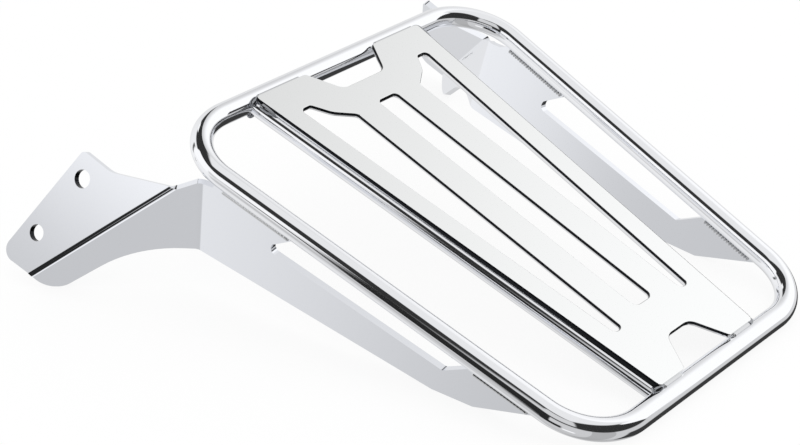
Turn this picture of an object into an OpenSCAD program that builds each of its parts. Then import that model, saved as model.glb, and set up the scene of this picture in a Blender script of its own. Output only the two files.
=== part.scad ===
/* [Hoop] */
// Outside diameter of the hoop tube
tube_d = 12.7; // [10:0.1:16]
// Wall thickness of the hoop tube
tube_wall = 1.6; // [1:0.1:3]
// Distance between the centre lines of the front and rear bars
hoop_l = 285.4; // [250:0.2:340]
// Distance between the side tubes where they would meet the front bar
hoop_front_w = 252.4; // [230:0.2:280]
// Distance between the side tubes where they would meet the rear bar
hoop_rear_w = 192.4; // [170:0.2:220]
// Centre-line radius of the four bends
corner_r = 36; // [28:0.5:44]

// Diameter of the drain hole under the front and rear bars
drain_d = 3; // [2:0.5:4]

/* [Rods] */
// Diameter of the two inner rods
rod_d = 9.5; // [8:0.1:11]
// Distance from the middle to a rod at the front bar
rod_front_x = 66.5; // [58:0.1:74]
// Distance from the middle to a rod at the rear bar
rod_rear_x = 40.6; // [34:0.1:50]

/* [Plate] */
// Thickness of the top plate
plate_t = 3; // [2:0.1:4]
// How far the plate reaches outward past the axis of each rod
plate_over = 1.9; // [0:0.1:4]
// Web between the plate's long edge and the outer slot
plate_web = 13.4; // [9:0.1:18]
// Radius of the plate's four outer corners
plate_corner_r = 3; // [1:0.5:5]

/* [Plate slots] */
// Width of the middle slot
mid_slot_w = 14.8; // [8:0.1:20]
// Front end of the middle slot
mid_slot_front = 99; // [80:0.5:104]
// Rear end of the middle slot, behind the middle of the hoop
mid_slot_rear = 94.7; // [80:0.1:100]
// Width of the web between the middle slot and an outer slot
slot_web = 19.1; // [10:0.1:22]
// Front end of the outer slots
out_slot_front = 116.5; // [108:0.5:122]
// Rear end of the outer slots, behind the middle of the hoop
out_slot_rear = 100.4; // [90:0.1:104]

/* [Plate notches] */
// Half width of the front notch at its mouth
front_notch_w = 28; // [22:0.5:34]
// Depth of the front notch
front_notch_d = 20.8; // [12:0.1:26]
// Half width of the rear notch at its mouth
rear_notch_w = 20.8; // [14:0.1:26]
// Depth of the rear notch
rear_notch_d = 20.3; // [12:0.1:24]

/* [Brackets] */
// Thickness of the bracket plate
bracket_t = 4; // [3:0.1:5]
// Lean of the side plate, its lower edge inward, in degrees
side_lean = 4.3; // [0:0.1:8]
// Depth of the side plate below the tube axis at the front bend
side_depth_front = 60.4; // [50:0.2:70]
// Depth of the side plate below the tube axis at the rear
side_depth_rear = 36; // [28:0.2:44]
// Where the first bend crosses the side plate, ahead of the hoop's middle
first_bend_y = 114.7; // [108:0.1:120]
// Inside radius of the first bend
first_bend_r = 6; // [3:0.5:9]
// Direction of the joggle face in plan, outward from straight ahead, in degrees
joggle_yaw = 42.7; // [36:0.1:48]
// Inside radius of the second bend
second_bend_r = 1.2; // [0.8:0.1:3]

/* [Ears] */
// Sideways place of the upper hole
hole_a_x = 148.5; // [144:0.1:154]
// Forward place of the upper hole
hole_a_y = 178.1; // [172:0.1:184]
// Height of the upper hole, below the tube axis
hole_a_drop = 46.7; // [42:0.1:52]
// Diameter of the upper hole
hole_a_d = 10.6; // [8.4:0.1:12]
// Diameter of the lower hole
hole_b_d = 9.7; // [6.6:0.1:11]
// Distance between the two holes
hole_pitch = 43.8; // [40:0.1:48]
// Tilt of the ear from upright, its lower edge outward, in degrees
ear_tilt = 27.5; // [20:0.1:34]
// Direction of the ear in plan, outward from straight ahead, in degrees
ear_yaw = 2.9; // [0:0.1:8]

/* [Welds] */
// Radius of the weld beads under the side tubes
bracket_bead_r = 1.5; // [0.8:0.1:2]
// Radius of the weld beads along the plate's tabs
tab_bead_r = 1.7; // [1:0.1:2.2]
// How far the weld collars stand out from the rod
collar_out = 1.9; // [1:0.1:3]
// Radius of the weld bead between the plate's long edge and the rod
plate_bead_r = 2.2; // [1.4:0.1:2.6]
// Length of the weld bead between the plate's long edge and the rod
plate_bead_l = 11.5; // [6:0.5:16]

/* [Hidden] */
chrome = [0.83, 0.84, 0.86];
weld_chrome = [0.74, 0.75, 0.77];

// Everything is drawn about the centre of the hoop, at the height of the tube axis, and moved to the
// datum at the end. +x is the machine's right, +y its front and +z up.
// Hoop: the bars run along x at y = half_l and y = -half_l, the side tubes close in towards the rear
tube_r = tube_d / 2;
half_l = hoop_l / 2;
taper = (hoop_front_w - hoop_rear_w) / 2 / hoop_l;
side_yaw = atan(taper);
side_mid_x = (hoop_front_w + hoop_rear_w) / 4;
front_turn = 90 + side_yaw;
rear_turn = 90 - side_yaw;
front_tan = corner_r * tan(front_turn / 2);
rear_tan = corner_r * tan(rear_turn / 2);
bore_d = tube_d - 2 * tube_wall;
bend_ease = 0.05;
bend_lap = 0.4;
fold_lap = 0.25;
lap_in = 0.3;

// Rods: they lie at the height of the tube axis and carry the plate
rod_r = rod_d / 2;
rod_taper = (rod_front_x - rod_rear_x) / hoop_l;
rod_mid_x = (rod_front_x + rod_rear_x) / 2;
rod_yaw = atan(rod_taper);

// Plate: its end edges land where its underside meets the bars
plate_bot = rod_r;
plate_end = half_l - sqrt(tube_r * tube_r - plate_bot * plate_bot);
mid_half = mid_slot_w / 2;
web_in = mid_half + slot_web;
function plate_x(y) = rod_mid_x + rod_taper * y + plate_over;
function out_slot_x(y) = plate_x(y) - plate_web;

// Directions of the bracket's three faces: along, up and outward normal
side_dir = [sin(side_yaw), cos(side_yaw), 0];
side_n = [cos(side_yaw) * cos(side_lean), -sin(side_yaw) * cos(side_lean), -sin(side_lean)];
side_up = cross(side_n, side_dir);
jog_dir = [sin(joggle_yaw), cos(joggle_yaw), 0];
jog_n = [cos(joggle_yaw), -sin(joggle_yaw), 0];
ear_dir = [sin(ear_yaw), cos(ear_yaw), 0];
ear_n = [cos(ear_yaw) * cos(ear_tilt), -sin(ear_yaw) * cos(ear_tilt), sin(ear_tilt)];
ear_up = cross(ear_n, ear_dir);
up = [0, 0, 1];

// Origins of the three faces, on their mid planes
side_o = [side_mid_x, 0, 0];
bend_mid_drop = 36;
first_o = side_o + first_bend_y * side_dir - bend_mid_drop * side_up;
jog_o = [first_o[0], first_o[1], 0];
ear_o = [hole_a_x, hole_a_y, -hole_a_drop];
function unit(v) = v / norm(v);
function in_side(p) = [(p - side_o) * side_dir, (p - side_o) * side_up];
function in_jog(p) = [(p - jog_o) * jog_dir, p[2]];
function in_ear(p) = [(p - ear_o) * ear_dir, (p - ear_o) * ear_up];

// Bend lines: where two mid planes cross, as a point and a direction pointing up
first_dir = unit(cross(jog_n, side_n));
first_up = first_dir[2] > 0 ? first_dir : -first_dir;
second_dir = unit(cross(ear_n, jog_n));
second_up = second_dir[2] > 0 ? second_dir : -second_dir;
// A point of the second bend line: the joggle plane is walked until it meets the ear plane
second_g = ((ear_o - jog_o) * ear_n) / (jog_dir * ear_n);
second_o = jog_o + second_g * jog_dir;
first_turn = acos(side_n * jog_n);
second_turn = acos(jog_n * ear_n);
first_mid_r = first_bend_r + bracket_t / 2;
second_mid_r = second_bend_r + bracket_t / 2;
first_back = first_mid_r * tan(first_turn / 2);
second_back = second_mid_r * tan(second_turn / 2);
// In-plane directions square to each bend line, pointing forward
first_side_fwd = unit(side_dir - (side_dir * first_up) * first_up);
first_jog_fwd = unit(jog_dir - (jog_dir * first_up) * first_up);
second_jog_fwd = unit(jog_dir - (jog_dir * second_up) * second_up);
second_ear_fwd = unit(ear_dir - (ear_dir * second_up) * second_up);
// Where the flat faces stop and the bends begin. Each face is a hair thinner than the bend beside it,
// and reaches into the bend by fold_lap, lap_in short of the bend's own edges.
first_side_o = first_o - first_back * first_side_fwd;
first_jog_o = first_o + first_back * first_jog_fwd;
second_jog_o = second_o - second_back * second_jog_fwd;
second_ear_o = second_o + second_back * second_ear_fwd;

// Outline of the side plate. Its depths are measured at two places along the tube.
side_top = -tube_r;
depth_front_at = 110;
depth_rear_at = -62;
side_slope = (side_depth_front - side_depth_rear) / (depth_front_at - depth_rear_at);
function side_bottom(a) = -side_depth_rear - side_slope * (a - depth_rear_at);
// Weld lands of the side plate, as distances along the tube from the middle of the hoop, and the
// beads on them, which stay on the straight run of the tube
land_front_start = 51.5;
land_front_end = first_bend_y - 10.2;
land_rear_end = -66.4;
land_rear_start = land_rear_end - 41.2;
straight_front = half_l / cos(side_yaw) - front_tan;
straight_rear = half_l / cos(side_yaw) - rear_tan;
bead_front_start = land_front_start + 2.5;
bead_front_end = min(land_front_end - 3.5, straight_front - 2.4);
bead_rear_end = land_rear_end - 2.6;
bead_rear_start = max(land_rear_start + 3.6, -straight_rear + 2.4);
function line_at(p, d, b) = p + (b - p[1]) / d[1] * d;
first_side_p = in_side(first_side_o);
first_side_d = [first_up * side_dir, first_up * side_up];
first_jog_p = in_jog(first_jog_o);
first_jog_d = [first_up * jog_dir, first_up[2]];
second_jog_p = in_jog(second_jog_o);
second_jog_d = [second_up * jog_dir, second_up[2]];
second_ear_p = in_ear(second_ear_o);
second_ear_d = [second_up * ear_dir, second_up * ear_up];

// Heights at which the outline crosses the bend lines
first_top_z = -12.6;
first_bot_z = -60.6;
second_top_z = -20.4;
second_bot_z = -105;
side_front_top = line_at(first_side_p, first_side_d, first_top_z + 0.7);
side_front_bot = line_at(first_side_p, first_side_d, first_bot_z + 0.3);
jog_rear_top = line_at(first_jog_p, first_jog_d, first_top_z - 0.7);
jog_rear_bot = line_at(first_jog_p, first_jog_d, first_bot_z - 0.4);
jog_front_top = line_at(second_jog_p, second_jog_d, second_top_z);
jog_front_bot = line_at(second_jog_p, second_jog_d, second_bot_z);
ear_rear_top = line_at(second_ear_p, second_ear_d, 28.6);
ear_rear_bot = line_at(second_ear_p, second_ear_d, -65.2);
side_lap_p = in_side(first_side_o + fold_lap * first_side_fwd);
side_lap_top = line_at(side_lap_p, first_side_d, side_front_top[1] - lap_in);
side_lap_bot = line_at(side_lap_p, first_side_d, side_front_bot[1] + lap_in);
jog_rear_lap_p = in_jog(first_jog_o - fold_lap * first_jog_fwd);
jog_rear_lap_top = line_at(jog_rear_lap_p, first_jog_d, jog_rear_top[1] - lap_in);
jog_rear_lap_bot = line_at(jog_rear_lap_p, first_jog_d, jog_rear_bot[1] + lap_in);
jog_front_lap_p = in_jog(second_jog_o + fold_lap * second_jog_fwd);
jog_front_lap_top = line_at(jog_front_lap_p, second_jog_d, jog_front_top[1] - lap_in);
jog_front_lap_bot = line_at(jog_front_lap_p, second_jog_d, jog_front_bot[1] + lap_in);
ear_lap_p = in_ear(second_ear_o - fold_lap * second_ear_fwd);
ear_lap_top = line_at(ear_lap_p, second_ear_d, ear_rear_top[1] - lap_in);
ear_lap_bot = line_at(ear_lap_p, second_ear_d, ear_rear_bot[1] + lap_in);

// Rounded outline: each corner is [x, y, radius], a radius of 0 leaves it sharp
function arc_steps(turn) = max(2, ceil(abs(turn) / 7.5));
function corner_points(a, b, c) =
    let (
        p = [b[0], b[1]],
        u = unit([a[0], a[1]] - p),
        v = unit([c[0], c[1]] - p),
        open = acos(max(-1, min(1, u * v))),
        cut = b[2] / tan(open / 2),
        centre = p + unit(u + v) * b[2] / sin(open / 2),
        s = p + u * cut - centre,
        e = p + v * cut - centre,
        from = atan2(s[1], s[0]),
        raw = atan2(e[1], e[0]) - from,
        turn = raw > 180 ? raw - 360 : (raw < -180 ? raw + 360 : raw),
        n = arc_steps(turn)
    )
    b[2] == 0 ? [p] : [for (i = [0:n]) centre + b[2] * [cos(from + turn * i / n), sin(from + turn * i / n)]];
function rounded(pts) =
    let (n = len(pts))
    [for (i = [0:n - 1]) each corner_points(pts[(i + n - 1) % n], pts[i], pts[(i + 1) % n])];

// Moves what is drawn about the hoop's centre to the part's origin, midway between the two upper holes
module at_datum() {
    translate([0, -hole_a_y, hole_a_drop])
        children();
}

// Puts a flat drawing on a face: its x along u, its y along v, its thickness centred on the face
module on_face(o, u, v, t) {
    w = cross(u, v);
    multmatrix([
        [u[0], v[0], w[0], o[0]],
        [u[1], v[1], w[1], o[1]],
        [u[2], v[2], w[2], o[2]],
        [0, 0, 0, 1]
    ])
        translate([0, 0, -t / 2])
            linear_extrude(t)
                children();
}

// One straight run of round bar between two points that lie level
module level_bar(a, b, d) {
    run = b - a;
    translate([a[0], a[1], 0])
        rotate([0, 0, atan2(run[1], run[0])])
            rotate([0, 90, 0])
                cylinder(h = norm(run), d = d, $fn = 64);
}

// One bend of round bar about a level centre
module level_bend(centre, from, turn, d) {
    translate([centre[0], centre[1], 0])
        rotate([0, 0, from])
            rotate_extrude(angle = turn, $fn = 96)
                translate([corner_r, 0])
                    circle(d = d, $fn = 64);
}

// The closed loop of the hoop, as solid bar of diameter d. The straight runs are a hair slimmer than
// the drawn bends and reach into them by bend_lap.
module hoop_loop(d) {
    fx = hoop_front_w / 2;
    rx = hoop_rear_w / 2;
    fr = [fx, half_l];
    rr = [rx, -half_l];
    back = [-sin(side_yaw), -cos(side_yaw)];
    f_bar = fx - front_tan;
    r_bar = rx - rear_tan;
    s_front = fr + front_tan * back;
    s_rear = rr - rear_tan * back;
    lap = bend_lap * [sin(side_yaw), cos(side_yaw)];
    run_a = s_rear - lap;
    run_b = s_front + lap;
    level_bar([-f_bar - bend_lap, half_l], [f_bar + bend_lap, half_l], d - 2 * bend_ease);
    level_bar([-r_bar - bend_lap, -half_l], [r_bar + bend_lap, -half_l], d - 2 * bend_ease);
    level_bar(run_a, run_b, d - 2 * bend_ease);
    level_bar([-run_a[0], run_a[1]], [-run_b[0], run_b[1]], d - 2 * bend_ease);
    level_bend([f_bar, half_l - corner_r], -side_yaw, front_turn, d);
    level_bend([-f_bar, half_l - corner_r], 90, front_turn, d);
    level_bend([r_bar, -half_l + corner_r], -90, rear_turn, d);
    level_bend([-r_bar, -half_l + corner_r], 180 + side_yaw, rear_turn, d);
}

// The hoop: one tube bent four times and closed on itself
module hoop() {
    color(chrome) at_datum()
        difference() {
            hoop_loop(tube_d);
            hoop_loop(bore_d);
            // Drain holes in the underside, which let the plating bath in and out of the tube
            for (end = [-1, 1])
                translate([0, end * half_l, -tube_d])
                    cylinder(h = tube_d, d = drain_d, $fn = 32);
        }
}

// A round envelope about a rod's axis, from the front bar's axis to the rear bar's axis
module rod_envelope(side, d) {
    a = [side * rod_rear_x, -half_l];
    b = [side * rod_front_x, half_l];
    level_bar(a, b, d);
}

// A round envelope of the front or rear bar, as long as the rear bar's width
module bar_envelope(end) {
    reach = hoop_rear_w / 2;
    level_bar([-reach, end * half_l], [reach, end * half_l], tube_d);
}

// One inner rod, its ends coped to the bars
module rod(side) {
    color(chrome) at_datum()
        difference() {
            rod_envelope(side, rod_d);
            bar_envelope(1);
            bar_envelope(-1);
        }
}

module rod_left() {
    rod(-1);
}

module rod_right() {
    rod(1);
}

// Outline of the plate, clockwise from the front left corner
function plate_outline() =
    let (
        e = plate_end,
        f = front_notch_w,
        r = rear_notch_w,
        fb = f - 0.545 * front_notch_d,
        rb = r - 0.545 * rear_notch_d
    )
    rounded([
        [-plate_x(e), e, plate_corner_r],
        [-f, e, 3],
        [-fb, e - front_notch_d, 7],
        [fb, e - front_notch_d, 7],
        [f, e, 3],
        [plate_x(e), e, plate_corner_r],
        [plate_x(-e), -e, plate_corner_r],
        [r, -e, 2.5],
        [rb, -e + rear_notch_d, 7.5],
        [-rb, -e + rear_notch_d, 7.5],
        [-r, -e, 2.5],
        [-plate_x(-e), -e, plate_corner_r]
    ]);

// Outline of the left outer slot: wide and slanted in front, narrow and round behind
function outer_slot_outline() =
    let (
        f = out_slot_front,
        b = -out_slot_rear,
        end_w = out_slot_x(b) - web_in
    )
    rounded([
        [-out_slot_x(f), f, 3],
        [-web_in - 18.6, f, 2.5],
        [-web_in - 11.6, f - 11, 16],
        [-web_in, f - 19.6, 3],
        [-web_in, b, end_w * 0.46],
        [-out_slot_x(b), b, end_w * 0.46]
    ]);

// Outline of the middle slot
function middle_slot_outline() =
    rounded([
        [-mid_half, mid_slot_front, 3],
        [mid_half, mid_slot_front, 3],
        [mid_half, -mid_slot_rear, 4],
        [-mid_half, -mid_slot_rear, 4]
    ]);

// The slotted plate that carries the load
module top_plate() {
    color(chrome) at_datum()
        translate([0, 0, plate_bot])
            linear_extrude(plate_t)
                difference() {
                    polygon(plate_outline());
                    polygon(outer_slot_outline());
                    mirror([1, 0])
                        polygon(outer_slot_outline());
                    polygon(middle_slot_outline());
                }
}

// Outline of the side plate: two weld lands under the tube with a long scallop between them
function side_outline() =
    let (
        dip_front = land_front_start + 13.1,
        dip_rear = land_rear_end + 14
    )
    rounded([
        [side_front_bot[0], side_front_bot[1], 0],
        [-66, side_bottom(-66), 9],
        [land_rear_start, side_top, 0],
        [land_rear_end, side_top, 0.8],
        [dip_rear, -20.2, 2.5],
        [dip_front, -25, 3.2],
        [dip_front - 0.4, -19.4, 3],
        [land_front_start, side_top, 0.8],
        [land_front_end, side_top, 1.5],
        [land_front_end + 3.9, -9.8, 4],
        [side_front_top[0], side_front_top[1], 0],
        [side_lap_top[0], side_lap_top[1], 0],
        [side_lap_bot[0], side_lap_bot[1], 0]
    ]);

// Outline of the joggle face, between its two bend lines
function jog_outline() =
    rounded([
        [jog_rear_bot[0], jog_rear_bot[1], 0],
        [31, -67.2, 76],
        [73.2, -115.4, 14],
        [jog_front_bot[0], jog_front_bot[1], 0],
        [jog_front_lap_bot[0], jog_front_lap_bot[1], 0],
        [jog_front_lap_top[0], jog_front_lap_top[1], 0],
        [jog_front_top[0], jog_front_top[1], 0],
        [jog_rear_top[0], jog_rear_top[1], 0],
        [jog_rear_lap_top[0], jog_rear_lap_top[1], 0],
        [jog_rear_lap_bot[0], jog_rear_lap_bot[1], 0]
    ]);

// Outline of the ear, about the upper hole
function ear_outline() =
    rounded([
        [ear_rear_bot[0], ear_rear_bot[1], 0],
        [24.9, -66.6, 7],
        [8.2, 13.6, 3],
        [-14, 13.7, 18],
        [ear_rear_top[0], ear_rear_top[1], 0],
        [ear_lap_top[0], ear_lap_top[1], 0],
        [ear_lap_bot[0], ear_lap_bot[1], 0]
    ]);

// A bend: part of a round shell about its axis, between the planes where the flat faces stop.
// o lies on the bend line of the mid planes, ax is its direction, fa and fb point along the two faces.
module bend(o, ax, fa, fb, mid_r, turn, top_a, top_b, bot_a, bot_b) {
    in_dir = unit(fb - fa);
    tangent = unit(fa + fb);
    centre = o + in_dir * mid_r / cos(turn / 2);
    flip = cross(tangent, ax) * in_dir > 0 ? 1 : -1;
    w = cross(tangent, ax);
    reach = mid_r + bracket_t / 2;
    far = reach + 2;
    h_top = max((top_a - centre) * ax, (top_b - centre) * ax) + 3;
    h_bot = min((bot_a - centre) * ax, (bot_b - centre) * ax) - 3;
    ta = [(top_a - centre) * tangent, (top_a - centre) * ax];
    tb = [(top_b - centre) * tangent, (top_b - centre) * ax];
    ba = [(bot_a - centre) * tangent, (bot_a - centre) * ax];
    bb = [(bot_b - centre) * tangent, (bot_b - centre) * ax];
    function along(p, q, x) = [x, p[1] + (q[1] - p[1]) * (x - p[0]) / (q[0] - p[0])];
    multmatrix([
        [tangent[0], ax[0], w[0], centre[0]],
        [tangent[1], ax[1], w[1], centre[1]],
        [tangent[2], ax[2], w[2], centre[2]],
        [0, 0, 0, 1]
    ])
        intersection() {
            translate([0, h_bot, 0])
                rotate([-90, 0, 0])
                    difference() {
                        cylinder(h = h_top - h_bot, r = reach, $fn = 96);
                        translate([0, 0, -1])
                            cylinder(h = h_top - h_bot + 2, r = mid_r - bracket_t / 2, $fn = 96);
                    }
            translate([0, h_bot - 1, 0])
                rotate([-90, 0, 0])
                    linear_extrude(h_top - h_bot + 2)
                        polygon([
                            [0, 0],
                            [-far * tan(turn / 2), flip * far],
                            [far * tan(turn / 2), flip * far]
                        ]);
            translate([0, 0, -far])
                linear_extrude(2 * far)
                    polygon([
                        along(ba, bb, -far),
                        along(ba, bb, far),
                        along(ta, tb, far),
                        along(ta, tb, -far)
                    ]);
        }
}

function from_side(p) = side_o + p[0] * side_dir + p[1] * side_up;
function from_jog(p) = jog_o + p[0] * jog_dir + p[1] * up;
function from_ear(p) = ear_o + p[0] * ear_dir + p[1] * ear_up;

// Direction from the upper hole to the lower hole, in the ear
hole_run = [9.5, -sqrt(hole_pitch * hole_pitch - 9.5 * 9.5)];

// A round hole square through the ear
module ear_hole(p, d) {
    multmatrix([
        [ear_dir[0], ear_up[0], ear_n[0], ear_o[0]],
        [ear_dir[1], ear_up[1], ear_n[1], ear_o[1]],
        [ear_dir[2], ear_up[2], ear_n[2], ear_o[2]],
        [0, 0, 0, 1]
    ])
        translate([p[0], p[1], -bracket_t])
            cylinder(h = 2 * bracket_t, d = d, $fn = 64);
}

// One bracket for the right-hand side: side plate, joggle and ear, bent from one plate
module bracket() {
    on_face(side_o, side_dir, side_up, bracket_t - 2 * bend_ease)
        polygon(side_outline());
    bend(
        first_o, first_up, first_side_fwd, first_jog_fwd, first_mid_r, first_turn,
        from_side(side_front_top), from_jog(jog_rear_top), from_side(side_front_bot), from_jog(jog_rear_bot)
    );
    on_face(jog_o, jog_dir, up, bracket_t - 2 * bend_ease)
        polygon(jog_outline());
    bend(
        second_o, second_up, second_jog_fwd, second_ear_fwd, second_mid_r, second_turn,
        from_jog(jog_front_top), from_ear(ear_rear_top), from_jog(jog_front_bot), from_ear(ear_rear_bot)
    );
    difference() {
        on_face(ear_o, ear_dir, ear_up, bracket_t - 2 * bend_ease)
            polygon(ear_outline());
        ear_hole([0, 0], hole_a_d);
        ear_hole(hole_run, hole_b_d);
    }
}

module bracket_right() {
    color(chrome) at_datum()
        bracket();
}

module bracket_left() {
    color(chrome) at_datum()
        mirror([1, 0, 0])
            bracket();
}

// The weld collar at one end of a rod: a cone about the rod that closes on the bar
module rod_weld(side, end) {
    x = end > 0 ? rod_front_x : rod_rear_x;
    in_yaw = end > 0 ? 180 - side * rod_yaw : -side * rod_yaw;
    color(weld_chrome) at_datum()
        difference() {
            translate([side * x, end * half_l, 0])
                rotate([0, 0, in_yaw])
                    rotate([-90, 0, 0])
                        translate([0, 0, 3.5])
                            cylinder(h = 5.4, r1 = rod_r + collar_out, r2 = rod_r + 0.05, $fn = 48);
            bar_envelope(end);
            rod_envelope(side, rod_d);
            // Nothing of the collar stands above the underside of the plate
            translate([-hoop_front_w / 2, end * half_l - 2 * tube_d, plate_bot])
                cube([hoop_front_w, 4 * tube_d, tube_d]);
        }
}

module weld_rod_front_left() {
    rod_weld(-1, 1);
}

module weld_rod_front_right() {
    rod_weld(1, 1);
}

module weld_rod_rear_left() {
    rod_weld(-1, -1);
}

module weld_rod_rear_right() {
    rod_weld(1, -1);
}

// The bead that joins one tab's end edge to the crest of a bar
module tab_weld(side, end) {
    inner = (end > 0 ? front_notch_w : rear_notch_w) + 3.5;
    outer = plate_x(end * plate_end) - plate_corner_r - 0.5;
    color(weld_chrome) at_datum()
        difference() {
            translate([0, end * (plate_end + 0.5), plate_bot + 0.5])
                level_bar([side * inner, 0], [side * outer, 0], 2 * tab_bead_r);
            bar_envelope(end);
            translate([-hoop_front_w / 2, end > 0 ? plate_end - tube_d : -plate_end, plate_bot - plate_t])
                cube([hoop_front_w, tube_d, 3 * plate_t]);
        }
}

module weld_tab_front_left() {
    tab_weld(-1, 1);
}

module weld_tab_front_right() {
    tab_weld(1, 1);
}

module weld_tab_rear_left() {
    tab_weld(-1, -1);
}

module weld_tab_rear_right() {
    tab_weld(1, -1);
}

// The short bead in the corner between the plate's long edge and the rod, by the front bar
module plate_weld(side) {
    across = plate_over * cos(rod_yaw);
    // It starts where the weld collar of the rod has ended
    start = 3.5 + 5.4 + 0.9;
    color(weld_chrome) at_datum()
        mirror([side < 0 ? 1 : 0, 0, 0])
            difference() {
                translate([rod_front_x, half_l, 0])
                    rotate([0, 0, 180 - rod_yaw])
                        intersection() {
                            translate([-across - 0.2, start, plate_bot + 0.6])
                                rotate([-90, 0, 0])
                                    cylinder(h = plate_bead_l, r = plate_bead_r, $fn = 48);
                            translate([-across - 2 * rod_r, 0, 0])
                                cube([2 * rod_r, start + 2 * plate_bead_l, 2 * tube_d]);
                        }
                rod_envelope(1, rod_d);
            }
}

module weld_plate_front_left() {
    plate_weld(-1);
}

module weld_plate_front_right() {
    plate_weld(1);
}

// The pair of beads, inside and outside, along one weld land of a bracket
module bracket_weld(from_a, to_a) {
    offset_n = bracket_t / 2 + 0.5;
    bead_z = -tube_r - 0.5;
    difference() {
        for (s = [-1, 1])
            multmatrix([
                [side_n[0], side_dir[0], side_up[0], side_o[0]],
                [side_n[1], side_dir[1], side_up[1], side_o[1]],
                [side_n[2], side_dir[2], side_up[2], side_o[2]],
                [0, 0, 0, 1]
            ])
                translate([s * offset_n, from_a, bead_z])
                    rotate([-90, 0, 0])
                        cylinder(h = to_a - from_a, r = bracket_bead_r, $fn = 32);
        hoop_side();
        multmatrix([
            [side_n[0], side_dir[0], side_up[0], side_o[0]],
            [side_n[1], side_dir[1], side_up[1], side_o[1]],
            [side_n[2], side_dir[2], side_up[2], side_o[2]],
            [0, 0, 0, 1]
        ])
            translate([-bracket_t / 2, from_a - 5, -tube_r - 20])
                cube([bracket_t, to_a - from_a + 10, 20]);
    }
}

// The straight right side tube as solid bar
module hoop_side() {
    fx = hoop_front_w / 2;
    rx = hoop_rear_w / 2;
    level_bar([rx, -half_l], [fx, half_l], tube_d);
}

module bracket_weld_pair(side, from_a, to_a) {
    color(weld_chrome) at_datum()
        mirror([side < 0 ? 1 : 0, 0, 0])
            bracket_weld(from_a, to_a);
}

module weld_bracket_front_left() {
    bracket_weld_pair(-1, bead_front_start, bead_front_end);
}

module weld_bracket_front_right() {
    bracket_weld_pair(1, bead_front_start, bead_front_end);
}

module weld_bracket_rear_left() {
    bracket_weld_pair(-1, bead_rear_start, bead_rear_end);
}

module weld_bracket_rear_right() {
    bracket_weld_pair(1, bead_rear_start, bead_rear_end);
}

hoop();
rod_left();
rod_right();
top_plate();
bracket_left();
bracket_right();
weld_rod_front_left();
weld_rod_front_right();
weld_rod_rear_left();
weld_rod_rear_right();
weld_tab_front_left();
weld_tab_front_right();
weld_tab_rear_left();
weld_tab_rear_right();
weld_plate_front_left();
weld_plate_front_right();
weld_bracket_front_left();
weld_bracket_front_right();
weld_bracket_rear_left();
weld_bracket_rear_right();
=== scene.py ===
"""A chrome-plated motorcycle luggage rack, dressed over its CAD frame.

The rack is a tapered hoop of steel tube, two inner rods, a slotted plate and two bent plate brackets,
joined by welds. Each sub-assembly is a class that holds its sizes in millimetres, models its pieces
with Blender's own tools and gives them their finish. Sizes are written about the centre of the hoop
at the height of the tube axis, and the datum shift puts them where the CAD frame has them.
"""

import logging
import math
from collections.abc import Callable, Iterable, Sequence
from dataclasses import dataclass
from enum import Enum

import bpy
from mathutils import Matrix, Vector

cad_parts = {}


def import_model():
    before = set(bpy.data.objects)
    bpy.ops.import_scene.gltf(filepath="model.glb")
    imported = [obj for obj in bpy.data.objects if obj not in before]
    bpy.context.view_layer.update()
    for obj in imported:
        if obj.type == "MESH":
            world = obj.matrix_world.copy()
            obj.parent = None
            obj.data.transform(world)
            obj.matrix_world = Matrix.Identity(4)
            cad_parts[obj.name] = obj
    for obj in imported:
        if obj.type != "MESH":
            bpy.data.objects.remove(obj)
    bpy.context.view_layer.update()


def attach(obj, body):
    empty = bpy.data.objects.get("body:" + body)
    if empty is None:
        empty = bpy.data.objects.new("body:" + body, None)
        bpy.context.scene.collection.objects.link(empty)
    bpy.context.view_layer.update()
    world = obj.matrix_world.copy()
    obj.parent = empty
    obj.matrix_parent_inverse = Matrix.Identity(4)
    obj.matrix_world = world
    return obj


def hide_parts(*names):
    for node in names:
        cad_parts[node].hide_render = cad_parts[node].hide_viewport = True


log = logging.getLogger("rack")
MM = 0.001
DATUM = Vector((0.0, -178.1, 46.7))
# The lowest points of a bracket and of the rear bar, which the rack stands on in the picture.
BRACKET_FOOT = (175.0, 167.0, -109.0)
BAR_FOOT = (0.0, -143.0, -6.35)
# A Map Range node with these settings eases in and out.
EASED = {"interpolation_type": "SMOOTHSTEP"}
# The colour inputs and the colour output of a Mix node, whose names its other sockets share.
MIX_A, MIX_B, MIX_OUT = 6, 7, 2

Corner = tuple[float, float, float]
Range = tuple[float, float]
Mapping = tuple[float, float, float, float]


class Side(Enum):
    """The two sides of the rack, as the sign of x."""

    LEFT = -1
    RIGHT = 1


class End(Enum):
    """The two ends of the rack, as the sign of y."""

    REAR = -1
    FRONT = 1


def place(x: float, y: float, z: float) -> Vector:
    """Turns a point about the hoop's centre into the scene's metres.

    Args:
        x: Millimetres to the machine's right.
        y: Millimetres to its front.
        z: Millimetres above the tube axis.

    Returns:
        The point in metres about the part's datum.
    """
    return (Vector((x, y, z)) + DATUM) * MM


def mirrored(side: Side, p: Vector) -> Vector:
    """Places a point of the right side, or its mirror image for the left.

    Args:
        side: The side that it is wanted on.
        p: The point about the hoop's centre, in millimetres.

    Returns:
        The point in metres about the part's datum.
    """
    return place(side.value * p.x, p.y, p.z)


def linear(hex_colour: str) -> tuple[float, float, float, float]:
    """Converts an sRGB hex colour to the linear values that a shader socket takes.

    Args:
        hex_colour: A colour such as "#F2F3F5".

    Returns:
        Red, green, blue and an alpha of 1.
    """
    values = []
    for i in (1, 3, 5):
        c = int(hex_colour[i : i + 2], 16) / 255
        values.append(c / 12.92 if c <= 0.04045 else ((c + 0.055) / 1.055) ** 2.4)
    return (values[0], values[1], values[2], 1.0)


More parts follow.
